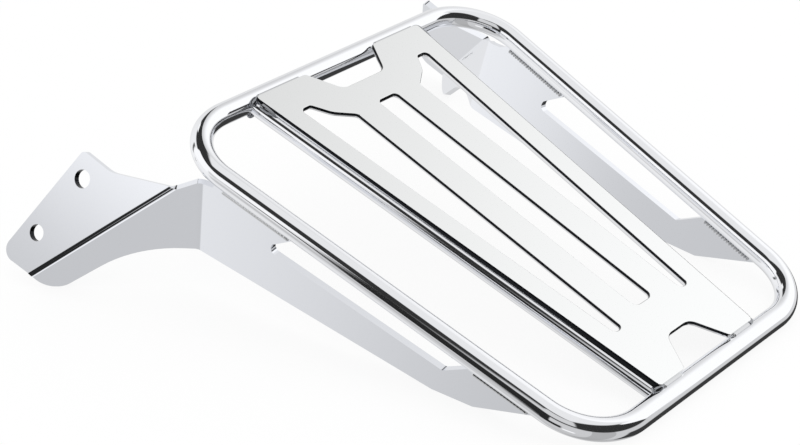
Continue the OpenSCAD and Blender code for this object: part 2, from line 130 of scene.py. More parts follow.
def rounded(corners: Sequence[Corner], step: float = 6.0) -> list[tuple[float, float]]:
    """Rounds the corners of an outline.

    Args:
        corners: Each corner as x, y and its radius, where 0 leaves it sharp.
        step: The greatest turn between two points of a round, in degrees.

    Returns:
        The outline's points.
    """
    out: list[tuple[float, float]] = []
    for i, (x, y, r) in enumerate(corners):
        p = Vector((x, y))
        if r == 0:
            out.append((x, y))
            continue
        u = (Vector(corners[i - 1][:2]) - p).normalized()
        v = (Vector(corners[(i + 1) % len(corners)][:2]) - p).normalized()
        half = u.angle(v) / 2
        centre = p + (u + v).normalized() * (r / math.sin(half))
        s = p + u * (r / math.tan(half)) - centre
        e = p + v * (r / math.tan(half)) - centre
        start = math.atan2(s.y, s.x)
        turn = math.atan2(e.y, e.x) - start
        turn = (turn + math.pi) % (2 * math.pi) - math.pi
        count = max(2, math.ceil(abs(math.degrees(turn)) / step))
        for k in range(count + 1):
            a = start + turn * k / count
            out.append((centre.x + r * math.cos(a), centre.y + r * math.sin(a)))
    return out


class NodeSheet:
    """A node tree that is filled in from code, one node at a time."""

    def __init__(self, tree: bpy.types.NodeTree) -> None:
        """Empties the tree, which is that of a material or a world."""
        self.tree = tree
        tree.nodes.clear()

    def node(
        self, kind: str, *values: object, named: dict | None = None, **settings: object
    ) -> bpy.types.Node:
        """Adds a node, sets its options and fills its inputs.

        Args:
            kind: The node's type name, without the ShaderNode that they all start with.
            *values: Values for its first inputs. A socket is linked, and a node by its first output.
            named: Values for other inputs, by the input's name or number.
            **settings: Options of the node itself.

        Returns:
            The new node.
        """
        made = self.tree.nodes.new(f"ShaderNode{kind}")
        for name, value in settings.items():
            setattr(made, name, value)
        for key, value in [*enumerate(values), *(named or {}).items()]:
            if isinstance(value, bpy.types.Node):
                value = value.outputs[0]
            if isinstance(value, bpy.types.NodeSocket):
                self.tree.links.new(value, made.inputs[key])
            else:
                made.inputs[key].default_value = value
        return made


@dataclass(frozen=True)
class ChromeFinish:
    """Bright chrome plating over steel: a clear mirror, here and there a little hazy and wavy.

    The polishing lines are drawn coarser than real ones, so that they show at the picture's size.

    Attributes:
        name: The material's name.
        colour: The plating's colour.
        roughness: The least roughness of the mirror.
        haze: How much the roughness grows in the hazier patches.
        haze_mm: Size of those patches.
        swell_mm: Size of the slow waves that polishing leaves.
        swell: Height of those waves, in millimetres.
        line_mm: Spacing of the fine polishing lines.
    """

    name: str
    colour: str = "#F3F4F7"
    roughness: float = 0.035
    haze: float = 0.05
    haze_mm: float = 22.0
    swell_mm: float = 30.0
    swell: float = 0.012
    line_mm: float = 0.5

    def make(self) -> bpy.types.Material:
        """Builds the material, with its pattern on Object coordinates, and returns it."""
        material = bpy.data.materials.new(self.name)
        material.use_nodes = True
        sheet = NodeSheet(material.node_tree)
        where = sheet.node("TexCoord").outputs["Object"]
        haze, relief, height = self.patterns(sheet, where)
        rough = sheet.node("Math", haze, self.haze, self.roughness, operation="MULTIPLY_ADD")
        bump = sheet.node("Bump", named={"Height": relief, "Strength": 1.0, "Distance": height * MM})
        inputs = {"Base Color": self.base(sheet, where), "Metallic": 1.0, "Roughness": rough, "Normal": bump}
        sheet.node("OutputMaterial", sheet.node("BsdfPrincipled", named=inputs))
        return material

    def patterns(self, sheet: NodeSheet, where: object) -> tuple[object, object, float]:
        """Adds the patterns of the haze and of the relief.

        Args:
            sheet: The material's nodes.
            where: The coordinates' socket.

        Returns:
            The two patterns and the relief's height in millimetres.
        """
        patches, lines, waves = (
            sheet.node("TexNoise", named={"Vector": where, "Scale": 1 / (size * MM), "Detail": detail})
            for size, detail in ((self.haze_mm, 3.0), (self.line_mm, 2.0), (self.swell_mm, 1.0))
        )
        return sheet.node("Math", patches, lines, operation="MULTIPLY"), waves, self.swell

    def base(self, sheet: NodeSheet, where: object) -> object:
        """Returns the colour, or the socket that gives it.

        Args:
            sheet: The material's nodes.
            where: The coordinates' socket.

        Returns:
            The plating's colour.
        """
        return linear(self.colour)


@dataclass(frozen=True)
class CutFinish(ChromeFinish):
    """Plating over a cut wall: nearly black, partly dull plating and partly a painted dark reflection, with
    a painted highlight along the bottom.

    Attributes:
        highlight_colour: The colour of the painted highlight along the bottom of the wall.
        highlight_below: Height under which the highlight is painted, about the hoop's centre.
        rise: How much higher the painted highlight reaches for each millimetre forward.
        soft: Half the width of the change between the two, in millimetres.
    """

    highlight_colour: str = "#EDEEF0"
    highlight_below: float = -1000.0
    rise: float = 0.0
    soft: float = 0.1

    def base(self, sheet: NodeSheet, where: object) -> object:
        """Blends from the painted highlight at the bottom to the dark colour up the wall.

        Args:
            sheet: The material's nodes.
            where: The coordinates' socket.

        Returns:
            The blend's socket.
        """
        _, ahead, up = sheet.node("SeparateXYZ", where).outputs
        height = sheet.node("Math", ahead, -self.rise, up, operation="MULTIPLY_ADD")
        level = (self.highlight_below + DATUM.z - self.rise * DATUM.y) * MM
        soft = self.soft * MM
        share = sheet.node("MapRange", height, level - soft, level + soft, 0.0, 1.0, **EASED)
        colours = {MIX_A: linear(self.highlight_colour), MIX_B: linear(self.colour)}
        return sheet.node("Mix", share, named=colours, data_type="RGBA").outputs[MIX_OUT]


@dataclass(frozen=True)
class WeldFinish(ChromeFinish):
    """Chrome over weld metal: greyer than the rest, and pitted so that its highlights break up.

    The pits are drawn coarser than real ones, so that they show at the picture's size.

    Attributes:
        pit_mm: Spacing of the pits.
        pit: Their depth, in millimetres.
    """

    pit_mm: float = 0.9
    pit: float = 0.012

    def patterns(self, sheet: NodeSheet, where: object) -> tuple[object, object, float]:
        """Adds the pattern of the pits, which are hazy as well.

        Args:
            sheet: The material's nodes.
            where: The coordinates' socket.

        Returns:
            The pattern twice, for the haze and for the relief, and the relief's height in millimetres.
        """
        inputs = {"Vector": where, "Scale": 1 / (self.pit_mm * MM), "Detail": 3.0}
        grain = sheet.node("TexNoise", named=inputs)
        return grain, grain, self.pit


class Bench:
    """The modelling steps that the pieces share, each one an operator of Blender's own."""

    @staticmethod
    def clear() -> None:
        """Leaves nothing selected and no piece in edit mode."""
        if bpy.context.object is not None and bpy.context.object.mode != "OBJECT":
            bpy.ops.object.mode_set(mode="OBJECT")
        bpy.ops.object.select_all(action="DESELECT")

    @staticmethod
    def pick(*pieces: bpy.types.Object) -> None:
        """Selects these pieces alone and makes the first one active."""
        Bench.clear()
        for piece in pieces:
            piece.select_set(True)
        bpy.context.view_layer.objects.active = pieces[0]

    @staticmethod
    def join(pieces: Sequence[bpy.types.Object]) -> bpy.types.Object:
        """Joins pieces into the first of them, and returns that one."""
        Bench.pick(*pieces)
        if len(pieces) > 1:
            bpy.ops.object.join()
        return pieces[0]

    @staticmethod
    def open_new(name: str, start: Vector) -> bpy.types.Object:
        """Starts a piece from a primitive whose corners are merged to its first point.

        Args:
            name: The piece's name.
            start: Where the first point lies.

        Returns:
            The piece, in edit mode, with that point selected.
        """
        Bench.clear()
        bpy.ops.mesh.primitive_plane_add(size=MM, location=(0.0, 0.0, 0.0))
        piece = bpy.context.object
        piece.name = name
        bpy.ops.object.mode_set(mode="EDIT")
        bpy.ops.mesh.select_mode(type="VERT")
        bpy.ops.mesh.select_all(action="SELECT")
        bpy.ops.mesh.merge(type="CENTER")
        bpy.ops.transform.translate(value=start)
        return piece

    @staticmethod
    def draw(points: Sequence[Vector]) -> None:
        """Draws an outline from the selected point, the first, by extruding it from point to point."""
        for a, b in zip(points, points[1:]):
            bpy.ops.mesh.extrude_vertices_move(TRANSFORM_OT_translate={"value": b - a})

    @staticmethod
    def apply(piece: bpy.types.Object, kind: str, **settings: object) -> None:
        """Adds a modifier and applies it.

        Args:
            piece: The piece, which becomes the active object.
            kind: The modifier's type.
            **settings: Its settings.
        """
        Bench.pick(piece)
        modifier = piece.modifiers.new(kind.title(), kind)
        for name, value in settings.items():
            setattr(modifier, name, value)
        bpy.ops.object.modifier_apply(modifier=modifier.name)

    @staticmethod
    def cut(piece: bpy.types.Object, cutters: Iterable[bpy.types.Object]) -> None:
        """Cuts the piece by other pieces, which are then thrown away."""
        for cutter in cutters:
            Bench.apply(piece, "BOOLEAN", operation="DIFFERENCE", solver="EXACT", object=cutter)
            bpy.data.objects.remove(cutter)

    @staticmethod
    def bar(name: str, a: Vector, b: Vector, d: float, sides: int = 96) -> bpy.types.Object:
        """Adds a round bar between two points, its place in its mesh.

        Args:
            name: The piece's name.
            a: One end, in metres.
            b: The other end.
            d: The bar's diameter in millimetres.
            sides: How many sides its round has.

        Returns:
            The bar.
        """
        Bench.clear()
        run = b - a
        bpy.ops.mesh.primitive_cylinder_add(vertices=sides, radius=d / 2 * MM, depth=run.length)
        piece = bpy.context.object
        piece.name = name
        turn = run.to_track_quat("Z", "Y").to_matrix().to_4x4()
        piece.data.transform(Matrix.Translation((a + b) / 2) @ turn)
        return piece

    @staticmethod
    def smooth(piece: bpy.types.Object, angle: float = 40.0) -> None:
        """Shades the piece smooth, but for edges sharper than an angle in degrees."""
        Bench.pick(piece)
        bpy.ops.object.shade_smooth_by_angle(angle=math.radians(angle))

    @staticmethod
    def outward(piece: bpy.types.Object, gap: float = 0.002) -> None:
        """Merges points nearer than a gap in millimetres and turns every face outwards."""
        Bench.pick(piece)
        bpy.ops.object.mode_set(mode="EDIT")
        bpy.ops.mesh.select_all(action="SELECT")
        bpy.ops.mesh.remove_doubles(threshold=gap * MM)
        bpy.ops.mesh.normals_make_consistent(inside=False)
        bpy.ops.object.mode_set(mode="OBJECT")

    @staticmethod
    def round_edges(piece: bpy.types.Object, radius: float, angle: float) -> None:
        """Rounds the edges of a plate and keeps its flats flat in the reflections.

        Args:
            piece: The piece.
            radius: The rounding in millimetres.
            angle: Edges sharper than this, in degrees, are rounded.
        """
        turn = math.radians(angle)
        how = {"limit_method": "ANGLE", "angle_limit": turn, "segments": 3, "harden_normals": True}
        Bench.apply(piece, "BEVEL", width=radius * MM, **how)
        Bench.smooth(piece, 60)
        Bench.apply(piece, "WEIGHTED_NORMAL", mode="FACE_AREA", keep_sharp=True, weight=100)

    @staticmethod
    def line_walls(
        piece: bpy.types.Object, lining: bpy.types.Material, chosen: Callable[[Vector, Vector], bool]
    ) -> None:
        """Gives some faces of a finished piece a second material.

        Args:
            piece: The piece, with its main material already on it.
            lining: The second material.
            chosen: Tells from a face's centre, about the hoop's centre, and its normal whether it gets it.
        """
        piece.data.materials.append(lining)
        for face in piece.data.polygons:
            if chosen(face.center / MM - DATUM, face.normal):
                face.material_index = len(piece.data.materials) - 1

    @staticmethod
    def hand_over(piece: bpy.types.Object, node: str, slot: str, material: bpy.types.Material) -> None:
        """Gives a finished piece its material and its body, and hides the CAD node that it stands for.

        Args:
            piece: The piece.
            node: The CAD node that it replaces.
            slot: The record's material slot; not used.
            material: The finish.
        """
        piece.data.materials.clear()
        piece.data.materials.append(material)
        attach(piece, "root")
        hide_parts(node)
        log.info("%s: %d faces, %s", piece.name, len(piece.data.polygons), material.name)


@dataclass
class Hoop:
    """The hoop: one tube bent four times and closed on itself.

    Attributes:
        tube_d: Outside diameter of the tube.
        length: Distance between the axes of the two bars.
        front_w: Distance between the side tubes where they would meet the front bar.
        rear_w: The same at the rear bar.
        corner_r: Centre-line radius of the bends.
        drain_d: Diameter of the drain holes.
        drain_z: Between which heights a drain hole is drilled.
        bend_steps: Steps of each bend.
        sides: Sides of the tube's round.
        cutter_x: How far a bar's stand-in reaches sideways.
    """

    tube_d: float = 12.7
    length: float = 285.4
    front_w: float = 252.4
    rear_w: float = 192.4
    corner_r: float = 36.0
    drain_d: float = 3.0
    drain_z: Range = (-9.0, -4.0)
    bend_steps: int = 40
    sides: int = 96
    cutter_x: float = 90.0

    @property
    def half_l(self) -> float:
        """Distance from the centre to a bar's axis."""
        return self.length / 2

    @property
    def yaw(self) -> float:
        """Angle of a side tube from straight ahead, in radians."""
        return math.atan((self.front_w - self.rear_w) / 2 / self.length)

    @property
    def side_mid_x(self) -> float:
        """Sideways place of a side tube, half way along."""
        return (self.front_w + self.rear_w) / 4

    def bar_cutter(self, end: End) -> bpy.types.Object:
        """Returns a solid bar in the place of the front or rear bar, to cut other pieces with."""
        y, reach = end.value * self.half_l, self.cutter_x
        return Bench.bar("bar_cutter", place(-reach, y, 0), place(reach, y, 0), self.tube_d, 128)

    def drain(self, end: End) -> bpy.types.Object:
        """Returns the drill of the drain hole under the front or rear bar."""
        low, high = (place(0, end.value * self.half_l, z) for z in self.drain_z)
        return Bench.bar("drain", low, high, self.drain_d, 32)

    def model(self, finish: ChromeFinish) -> None:
        """Extrudes and spins the tube's round once about the loop.

        Args:
            finish: The plating.
        """
        r, half_l = self.corner_r, self.half_l
        front_turn, rear_turn = math.pi / 2 + self.yaw, math.pi / 2 - self.yaw
        front_back, rear_back = (r * math.tan(turn / 2) for turn in (front_turn, rear_turn))
        front_x, rear_x = self.front_w / 2 - front_back, self.rear_w / 2 - rear_back
        side_run = math.hypot((self.front_w - self.rear_w) / 2, self.length) - front_back - rear_back
        heading = Vector((-math.sin(self.yaw), -math.cos(self.yaw), 0.0)) * side_run * MM
        Bench.clear()
        bpy.ops.mesh.primitive_circle_add(
            vertices=self.sides,
            radius=self.tube_d / 2 * MM,
            location=place(0, half_l, 0),
            rotation=(0.0, math.pi / 2, 0.0),
        )
        piece = bpy.context.object
        piece.name = "hoop_tube"
        bpy.ops.object.transform_apply(location=True, rotation=True, scale=True)
        bpy.ops.object.mode_set(mode="EDIT")
        bpy.ops.mesh.select_all(action="SELECT")
        self.run(Vector((front_x * MM, 0.0, 0.0)))
        self.bend(place(front_x, half_l - r, 0), front_turn)
        self.run(heading)
        self.bend(place(rear_x, r - half_l, 0), rear_turn)
        self.run(Vector((-2 * rear_x * MM, 0.0, 0.0)))
        self.bend(place(-rear_x, r - half_l, 0), rear_turn)
        self.run(Vector((heading.x, -heading.y, 0.0)))
        self.bend(place(-front_x, half_l - r, 0), front_turn)
        self.run(Vector((front_x * MM, 0.0, 0.0)))
        Bench.outward(piece, 0.01)
        Bench.cut(piece, [self.drain(end) for end in End])
        Bench.smooth(piece)
        Bench.hand_over(piece, "hoop", "hoop", finish.make())

    @staticmethod
    def run(by: Vector) -> None:
        """Extrudes the selected round straight on by a way in metres."""
        bpy.ops.mesh.extrude_region_move(TRANSFORM_OT_translate={"value": by})

    def bend(self, centre: Vector, turn: float) -> None:
        """Spins the selected round about a bend's centre, towards the machine's right-hand turn.

        Args:
            centre: The bend's centre, in metres.
            turn: The angle of the bend, in radians.
        """
        bpy.ops.mesh.spin(steps=self.bend_steps, angle=turn, center=centre, axis=(0.0, 0.0, 1.0))


@dataclass
class InnerRods:
    """The two rods under the plate, coped to the bars at both ends.

    Attributes:
        hoop: The hoop that they join.
        rod_d: Their diameter.
        front_x: Distance from the middle at the front bar.
        rear_x: The same at the rear bar.
    """

    hoop: Hoop
    rod_d: float = 9.5
    front_x: float = 66.5
    rear_x: float = 40.6

    def axis_x(self, y: float) -> float:
        """Returns the distance of a rod's axis from the middle at a place along the rack."""
        taper = (self.front_x - self.rear_x) / self.hoop.length
        return (self.front_x + self.rear_x) / 2 + taper * y

    def model(self, finish: ChromeFinish) -> None:
        """Makes both rods and copes their ends.

        Args:
            finish: The plating.
        """
        material = finish.make()
        y = self.hoop.half_l
        for side in Side:
            name = f"rod_{side.name.lower()}"
            rear, front = place(side.value * self.rear_x, -y, 0), place(side.value * self.front_x, y, 0)
            piece = Bench.bar(f"{name}_bar", rear, front, self.rod_d)
            Bench.cut(piece, [self.hoop.bar_cutter(end) for end in End])
            Bench.smooth(piece)
            Bench.hand_over(piece, name, "rod", material)


@dataclass(frozen=True)
class Notch:
    """A notch in an end of the plate, narrower inside than at its mouth.

    Attributes:
        half_w: Half its width at the mouth.
        depth: Its depth.
        mouth_r: Radius of the two corners at the mouth.
        inner_r: Radius of the two inner corners.
        slope: How much each side closes in for each millimetre inward.
    """

    half_w: float
    depth: float
    mouth_r: float
    inner_r: float
    slope: float = 0.545

    def corners(self, end: End, end_y: float) -> list[Corner]:
        """Returns its corners in the outline's order.

        Args:
            end: The end of the plate that it is in.
            end_y: How far that end lies from the middle.

        Returns:
            The four corners, each as x, y and radius.
        """
        s = end.value
        inner, y = self.half_w - self.slope * self.depth, s * (end_y - self.depth)
        return [
            (-s * self.half_w, s * end_y, self.mouth_r),
            (-s * inner, y, self.inner_r),
            (s * inner, y, self.inner_r),
            (s * self.half_w, s * end_y, self.mouth_r),
        ]


@dataclass
class TopPlate:
    """The slotted plate that carries the load.

    Attributes:
        rods: The rods that it lies on.
        thickness: Thickness of the plate.
        over: How far it reaches outward past each rod's axis.
        web: Web between its long edge and an outer slot.
        corner_r: Radius of its four outer corners.
        mid_slot_half: Half the width of the middle slot.
        mid_slot_y: Where the middle slot starts and ends, from front to rear.
        mid_slot_r: Radius of its front and rear corners.
        slot_web: Web between the middle slot and an outer one.
        out_slot_y: Where the outer slots start and end, from front to rear.
        out_slot_r: Radius of an outer slot's front outer corner.
        out_slot_slant: The corners of its slanted front, from its inner edge and its front end.
        out_slot_end: Radius of its rear corners as a share of its width there.
        front_notch: The notch at the front end.
        rear_notch: The notch at the rear end.
        cut_past: How far a cut reaches past the plate, above and below.
        wall_z: Upward share of the normal under which a face counts as a cut wall.
        edge_z: The same for the rounded long edges.
        edge_r: Rounding of its edges.
    """

    rods: InnerRods
    thickness: float = 3.0
    over: float = 1.9
    web: float = 13.4
    corner_r: float = 3.0
    mid_slot_half: float = 7.4
    mid_slot_y: Range = (99.0, -94.7)
    mid_slot_r: Range = (3.0, 4.0)
    slot_web: float = 19.1
    out_slot_y: Range = (116.5, -100.4)
    out_slot_r: float = 3.0
    out_slot_slant: tuple[Corner, ...] = ((18.6, 0.0, 2.5), (11.6, -11.0, 16.0), (0.0, -19.6, 3.0))
    out_slot_end: float = 0.46
    front_notch: Notch = Notch(28.0, 20.8, 3.0, 7.0)
    rear_notch: Notch = Notch(20.8, 20.3, 2.5, 7.5)
    cut_past: float = 2.0
    wall_z: float = 0.75
    edge_z: float = 0.98
    edge_r: float = 0.7

    @property
    def underside(self) -> float:
        """Height of the plate's underside."""
        return self.rods.rod_d / 2

    @property
    def end_y(self) -> float:
        """Where the end edges meet the bars."""
        r = self.rods.hoop.tube_d / 2
        return self.rods.hoop.half_l - math.sqrt(r * r - self.underside**2)

    def edge_x(self, y: float) -> float:
        """Returns the distance of the long edge from the middle at a place along the rack."""
        return self.rods.axis_x(y) + self.over

    def outline(self) -> list[tuple[float, float]]:
        """Returns the outer outline with its two notches."""
        e, r = self.end_y, self.corner_r
        front, rear = self.edge_x(e), self.edge_x(-e)
        return rounded(
            [
                (-front, e, r),
                *self.front_notch.corners(End.FRONT, e),
                (front, e, r),
                (rear, -e, r),
                *self.rear_notch.corners(End.REAR, e),
                (-rear, -e, r),
            ]
        )

    def outer_slot(self, side: Side) -> list[tuple[float, float]]:
        """Returns the outline of one outer slot: wide and slanted in front, narrow and round behind."""
        front, rear = self.out_slot_y
        inner = self.mid_slot_half + self.slot_web
        front_x, rear_x = self.edge_x(front) - self.web, self.edge_x(rear) - self.web
        end_r = (rear_x - inner) * self.out_slot_end
        slant = [(inner + x, front + y, r) for x, y, r in self.out_slot_slant]
        back = [(inner, rear, end_r), (rear_x, rear, end_r)]
        points = rounded([(front_x, front, self.out_slot_r), *slant, *back])
        return [(side.value * x, y) for x, y in points]

    def middle_slot(self) -> list[tuple[float, float]]:
        """Returns the middle slot's outline."""
        x = self.mid_slot_half
        (front, rear), (front_r, rear_r) = self.mid_slot_y, self.mid_slot_r
        return rounded([(-x, front, front_r), (x, front, front_r), (x, rear, rear_r), (-x, rear, rear_r)])

    def is_wall(self, centre: Vector, normal: Vector) -> bool:
        """Tells whether a face belongs to a cut wall, away from the beads that run over the tabs' ends.

        Args:
            centre: The face's centre about the hoop's centre.
            normal: Its normal.

        Returns:
            True for such a face.
        """
        return abs(normal.z) < self.wall_z and abs(centre.y) < self.end_y - self.edge_r

    def is_long_edge(self, centre: Vector, normal: Vector) -> bool:
        """Tells whether a face belongs to one of the two long edges, with a little over their rounding.

        Args:
            centre: The face's centre about the hoop's centre.
            normal: Its normal.

        Returns:
            True for such a face.
        """
        return abs(centre.x) > self.edge_x(centre.y) - self.edge_r * 1.2 and abs(normal.z) < self.edge_z

    def model(self, finish: ChromeFinish, walls: CutFinish, edges: CutFinish) -> None:
        """Draws the plate, gives it its thickness, cuts the slots and rounds every edge.

        Args:
            finish: The plating.
            walls: The plating of the cut walls.
            edges: The plating of the two long edges.
        """
        piece = self.slab("plate_slab", self.outline(), self.underside, self.thickness)
        slots = [self.outer_slot(Side.LEFT), self.outer_slot(Side.RIGHT), self.middle_slot()]
        bottom, height = self.underside - self.cut_past, self.thickness + 2 * self.cut_past
        Bench.cut(piece, [self.slab("slot", slot, bottom, height) for slot in slots])
        Bench.round_edges(piece, self.edge_r, 50)
        Bench.hand_over(piece, "top_plate", "plate", finish.make())
        # The cut walls and the long edges go nearly black with a painted highlight along the bottom: partly
        # dull plating, partly painted reflection.
        Bench.line_walls(piece, walls.make(), self.is_wall)
        Bench.line_walls(piece, edges.make(), self.is_long_edge)

    @staticmethod
    def slab(
        name: str, outline: Sequence[tuple[float, float]], bottom: float, height: float
    ) -> bpy.types.Object:
        """Draws a flat outline, fills it and extrudes it upward.

        Args:
            name: The piece's name.
            outline: The outline's points.
            bottom: Height of the underside.
            height: Its thickness.

        Returns:
            The slab.
        """
        points = [place(x, y, bottom) for x, y in outline]
        piece = Bench.open_new(name, points[0])
        Bench.draw(points)
        bpy.ops.mesh.select_all(action="SELECT")
        bpy.ops.mesh.edge_face_add()
        bpy.ops.mesh.extrude_region_move(TRANSFORM_OT_translate={"value": (0.0, 0.0, height * MM)})
        Bench.outward(piece)
        return piece


@dataclass(frozen=True)
class Flat:
    """One flat of a bracket, on the plate's middle surface.

    Attributes:
        origin: A point of the flat.
        along: Its direction along the machine.
        up: Its upward direction.
        normal: Its outward normal.
    """

    origin: Vector
    along: Vector
    up: Vector
    normal: Vector

    @classmethod
    def turned(cls, origin: Vector, yaw: float, tilt: float) -> "Flat":
        """Makes a flat from its two angles.

        Args:
            origin: A point of the flat.
            yaw: Its turn outward from straight ahead, in radians.
            tilt: Its lean from upright, lower edge outward, in radians.

        Returns:
            The flat.
        """
        along = Vector((math.sin(yaw), math.cos(yaw), 0))
        flat_n = math.cos(tilt)
        normal = Vector((math.cos(yaw) * flat_n, -math.sin(yaw) * flat_n, math.sin(tilt)))
        return cls(origin, along, normal.cross(along), normal)

    def at(self, a: float, b: float) -> Vector:
        """Returns the point at a along and b up."""
        return self.origin + a * self.along + b * self.up

    def measure(self, p: Vector) -> tuple[float, float]:
        """Returns how far along and how far up a point lies."""
        return (p - self.origin).dot(self.along), (p - self.origin).dot(self.up)

    def off(self, p: Vector) -> float:
        """Returns how far a point lies off the flat, outward."""
        return (p - self.origin).dot(self.normal)

    def meet(self, edge: Vector, line: Vector, height: float) -> Vector:
        """Walks along a bend line, from a point of it, to a height that is measured up this flat."""
        return edge + line * ((height - (edge - self.origin).dot(self.up)) / line.dot(self.up))


class Fold:
    """A bend between two flats of a bracket, on the plate's middle surface.

    Attributes:
        line: The bend line's direction, pointing upward.
        turn: The bend's angle, in radians.
        rear_run: The direction forward in the flat behind it, square to the bend line.
        front_run: The same in the flat ahead of it.
        rear_edge: A point of the line where the flat behind it stops.
        front_edge: A point of the line where the flat ahead of it starts.
        centre: A point of the bend's axis.
    """

    def __init__(self, rear: Flat, front: Flat, corner: Vector, radius: float) -> None:
        """Works the bend out.

        Args:
            rear: The flat behind it.
            front: The flat ahead of it.
            corner: A point of the line where the two would meet unrounded.
            radius: The bend's radius at the middle surface.
        """
        line = front.normal.cross(rear.normal)
        self.line = line.normalized() if line.z > 0 else -line.normalized()
        self.turn = rear.normal.angle(front.normal)
        self.rear_run = self.square(rear.along)
        self.front_run = self.square(front.along)
        back = radius * math.tan(self.turn / 2)
        self.rear_edge = corner - back * self.rear_run
        self.front_edge = corner + back * self.front_run
        inward = (self.front_run - self.rear_run).normalized()
        self.centre = corner + inward * (radius / math.cos(self.turn / 2))

    def square(self, v: Vector) -> Vector:
        """Returns the part of v that is square to the bend line, at a length of 1."""
        return (v - v.dot(self.line) * self.line).normalized()

    def rows(self, a: Sequence[Vector], b: Sequence[Vector], steps: int) -> list[list[Vector]]:
        """Works out the pairs of points that the bend passes through.

        Args:
            a: The top and bottom points where it starts.
            b: The top and bottom points where it ends.
            steps: How many steps the bend has.

        Returns:
            The top and bottom points of each row, both ends included.
        """
        start, stop = self.square(a[0] - self.centre), self.square(b[0] - self.centre)
        sign = 1 if start.cross(stop).dot(self.line) > 0 else -1
        rows = []
        for k in range(steps + 1):
            swing = Matrix.Rotation(sign * self.turn * k / steps, 4, self.line)
            row = []
            for p, e in zip(a, b):
                h0, h1 = (p - self.centre).dot(self.line), (e - self.centre).dot(self.line)
                arm = (p - self.centre) - h0 * self.line
                row.append(self.centre + swing @ arm + self.line * (h0 + (h1 - h0) * k / steps))
            rows.append(row)
        return rows


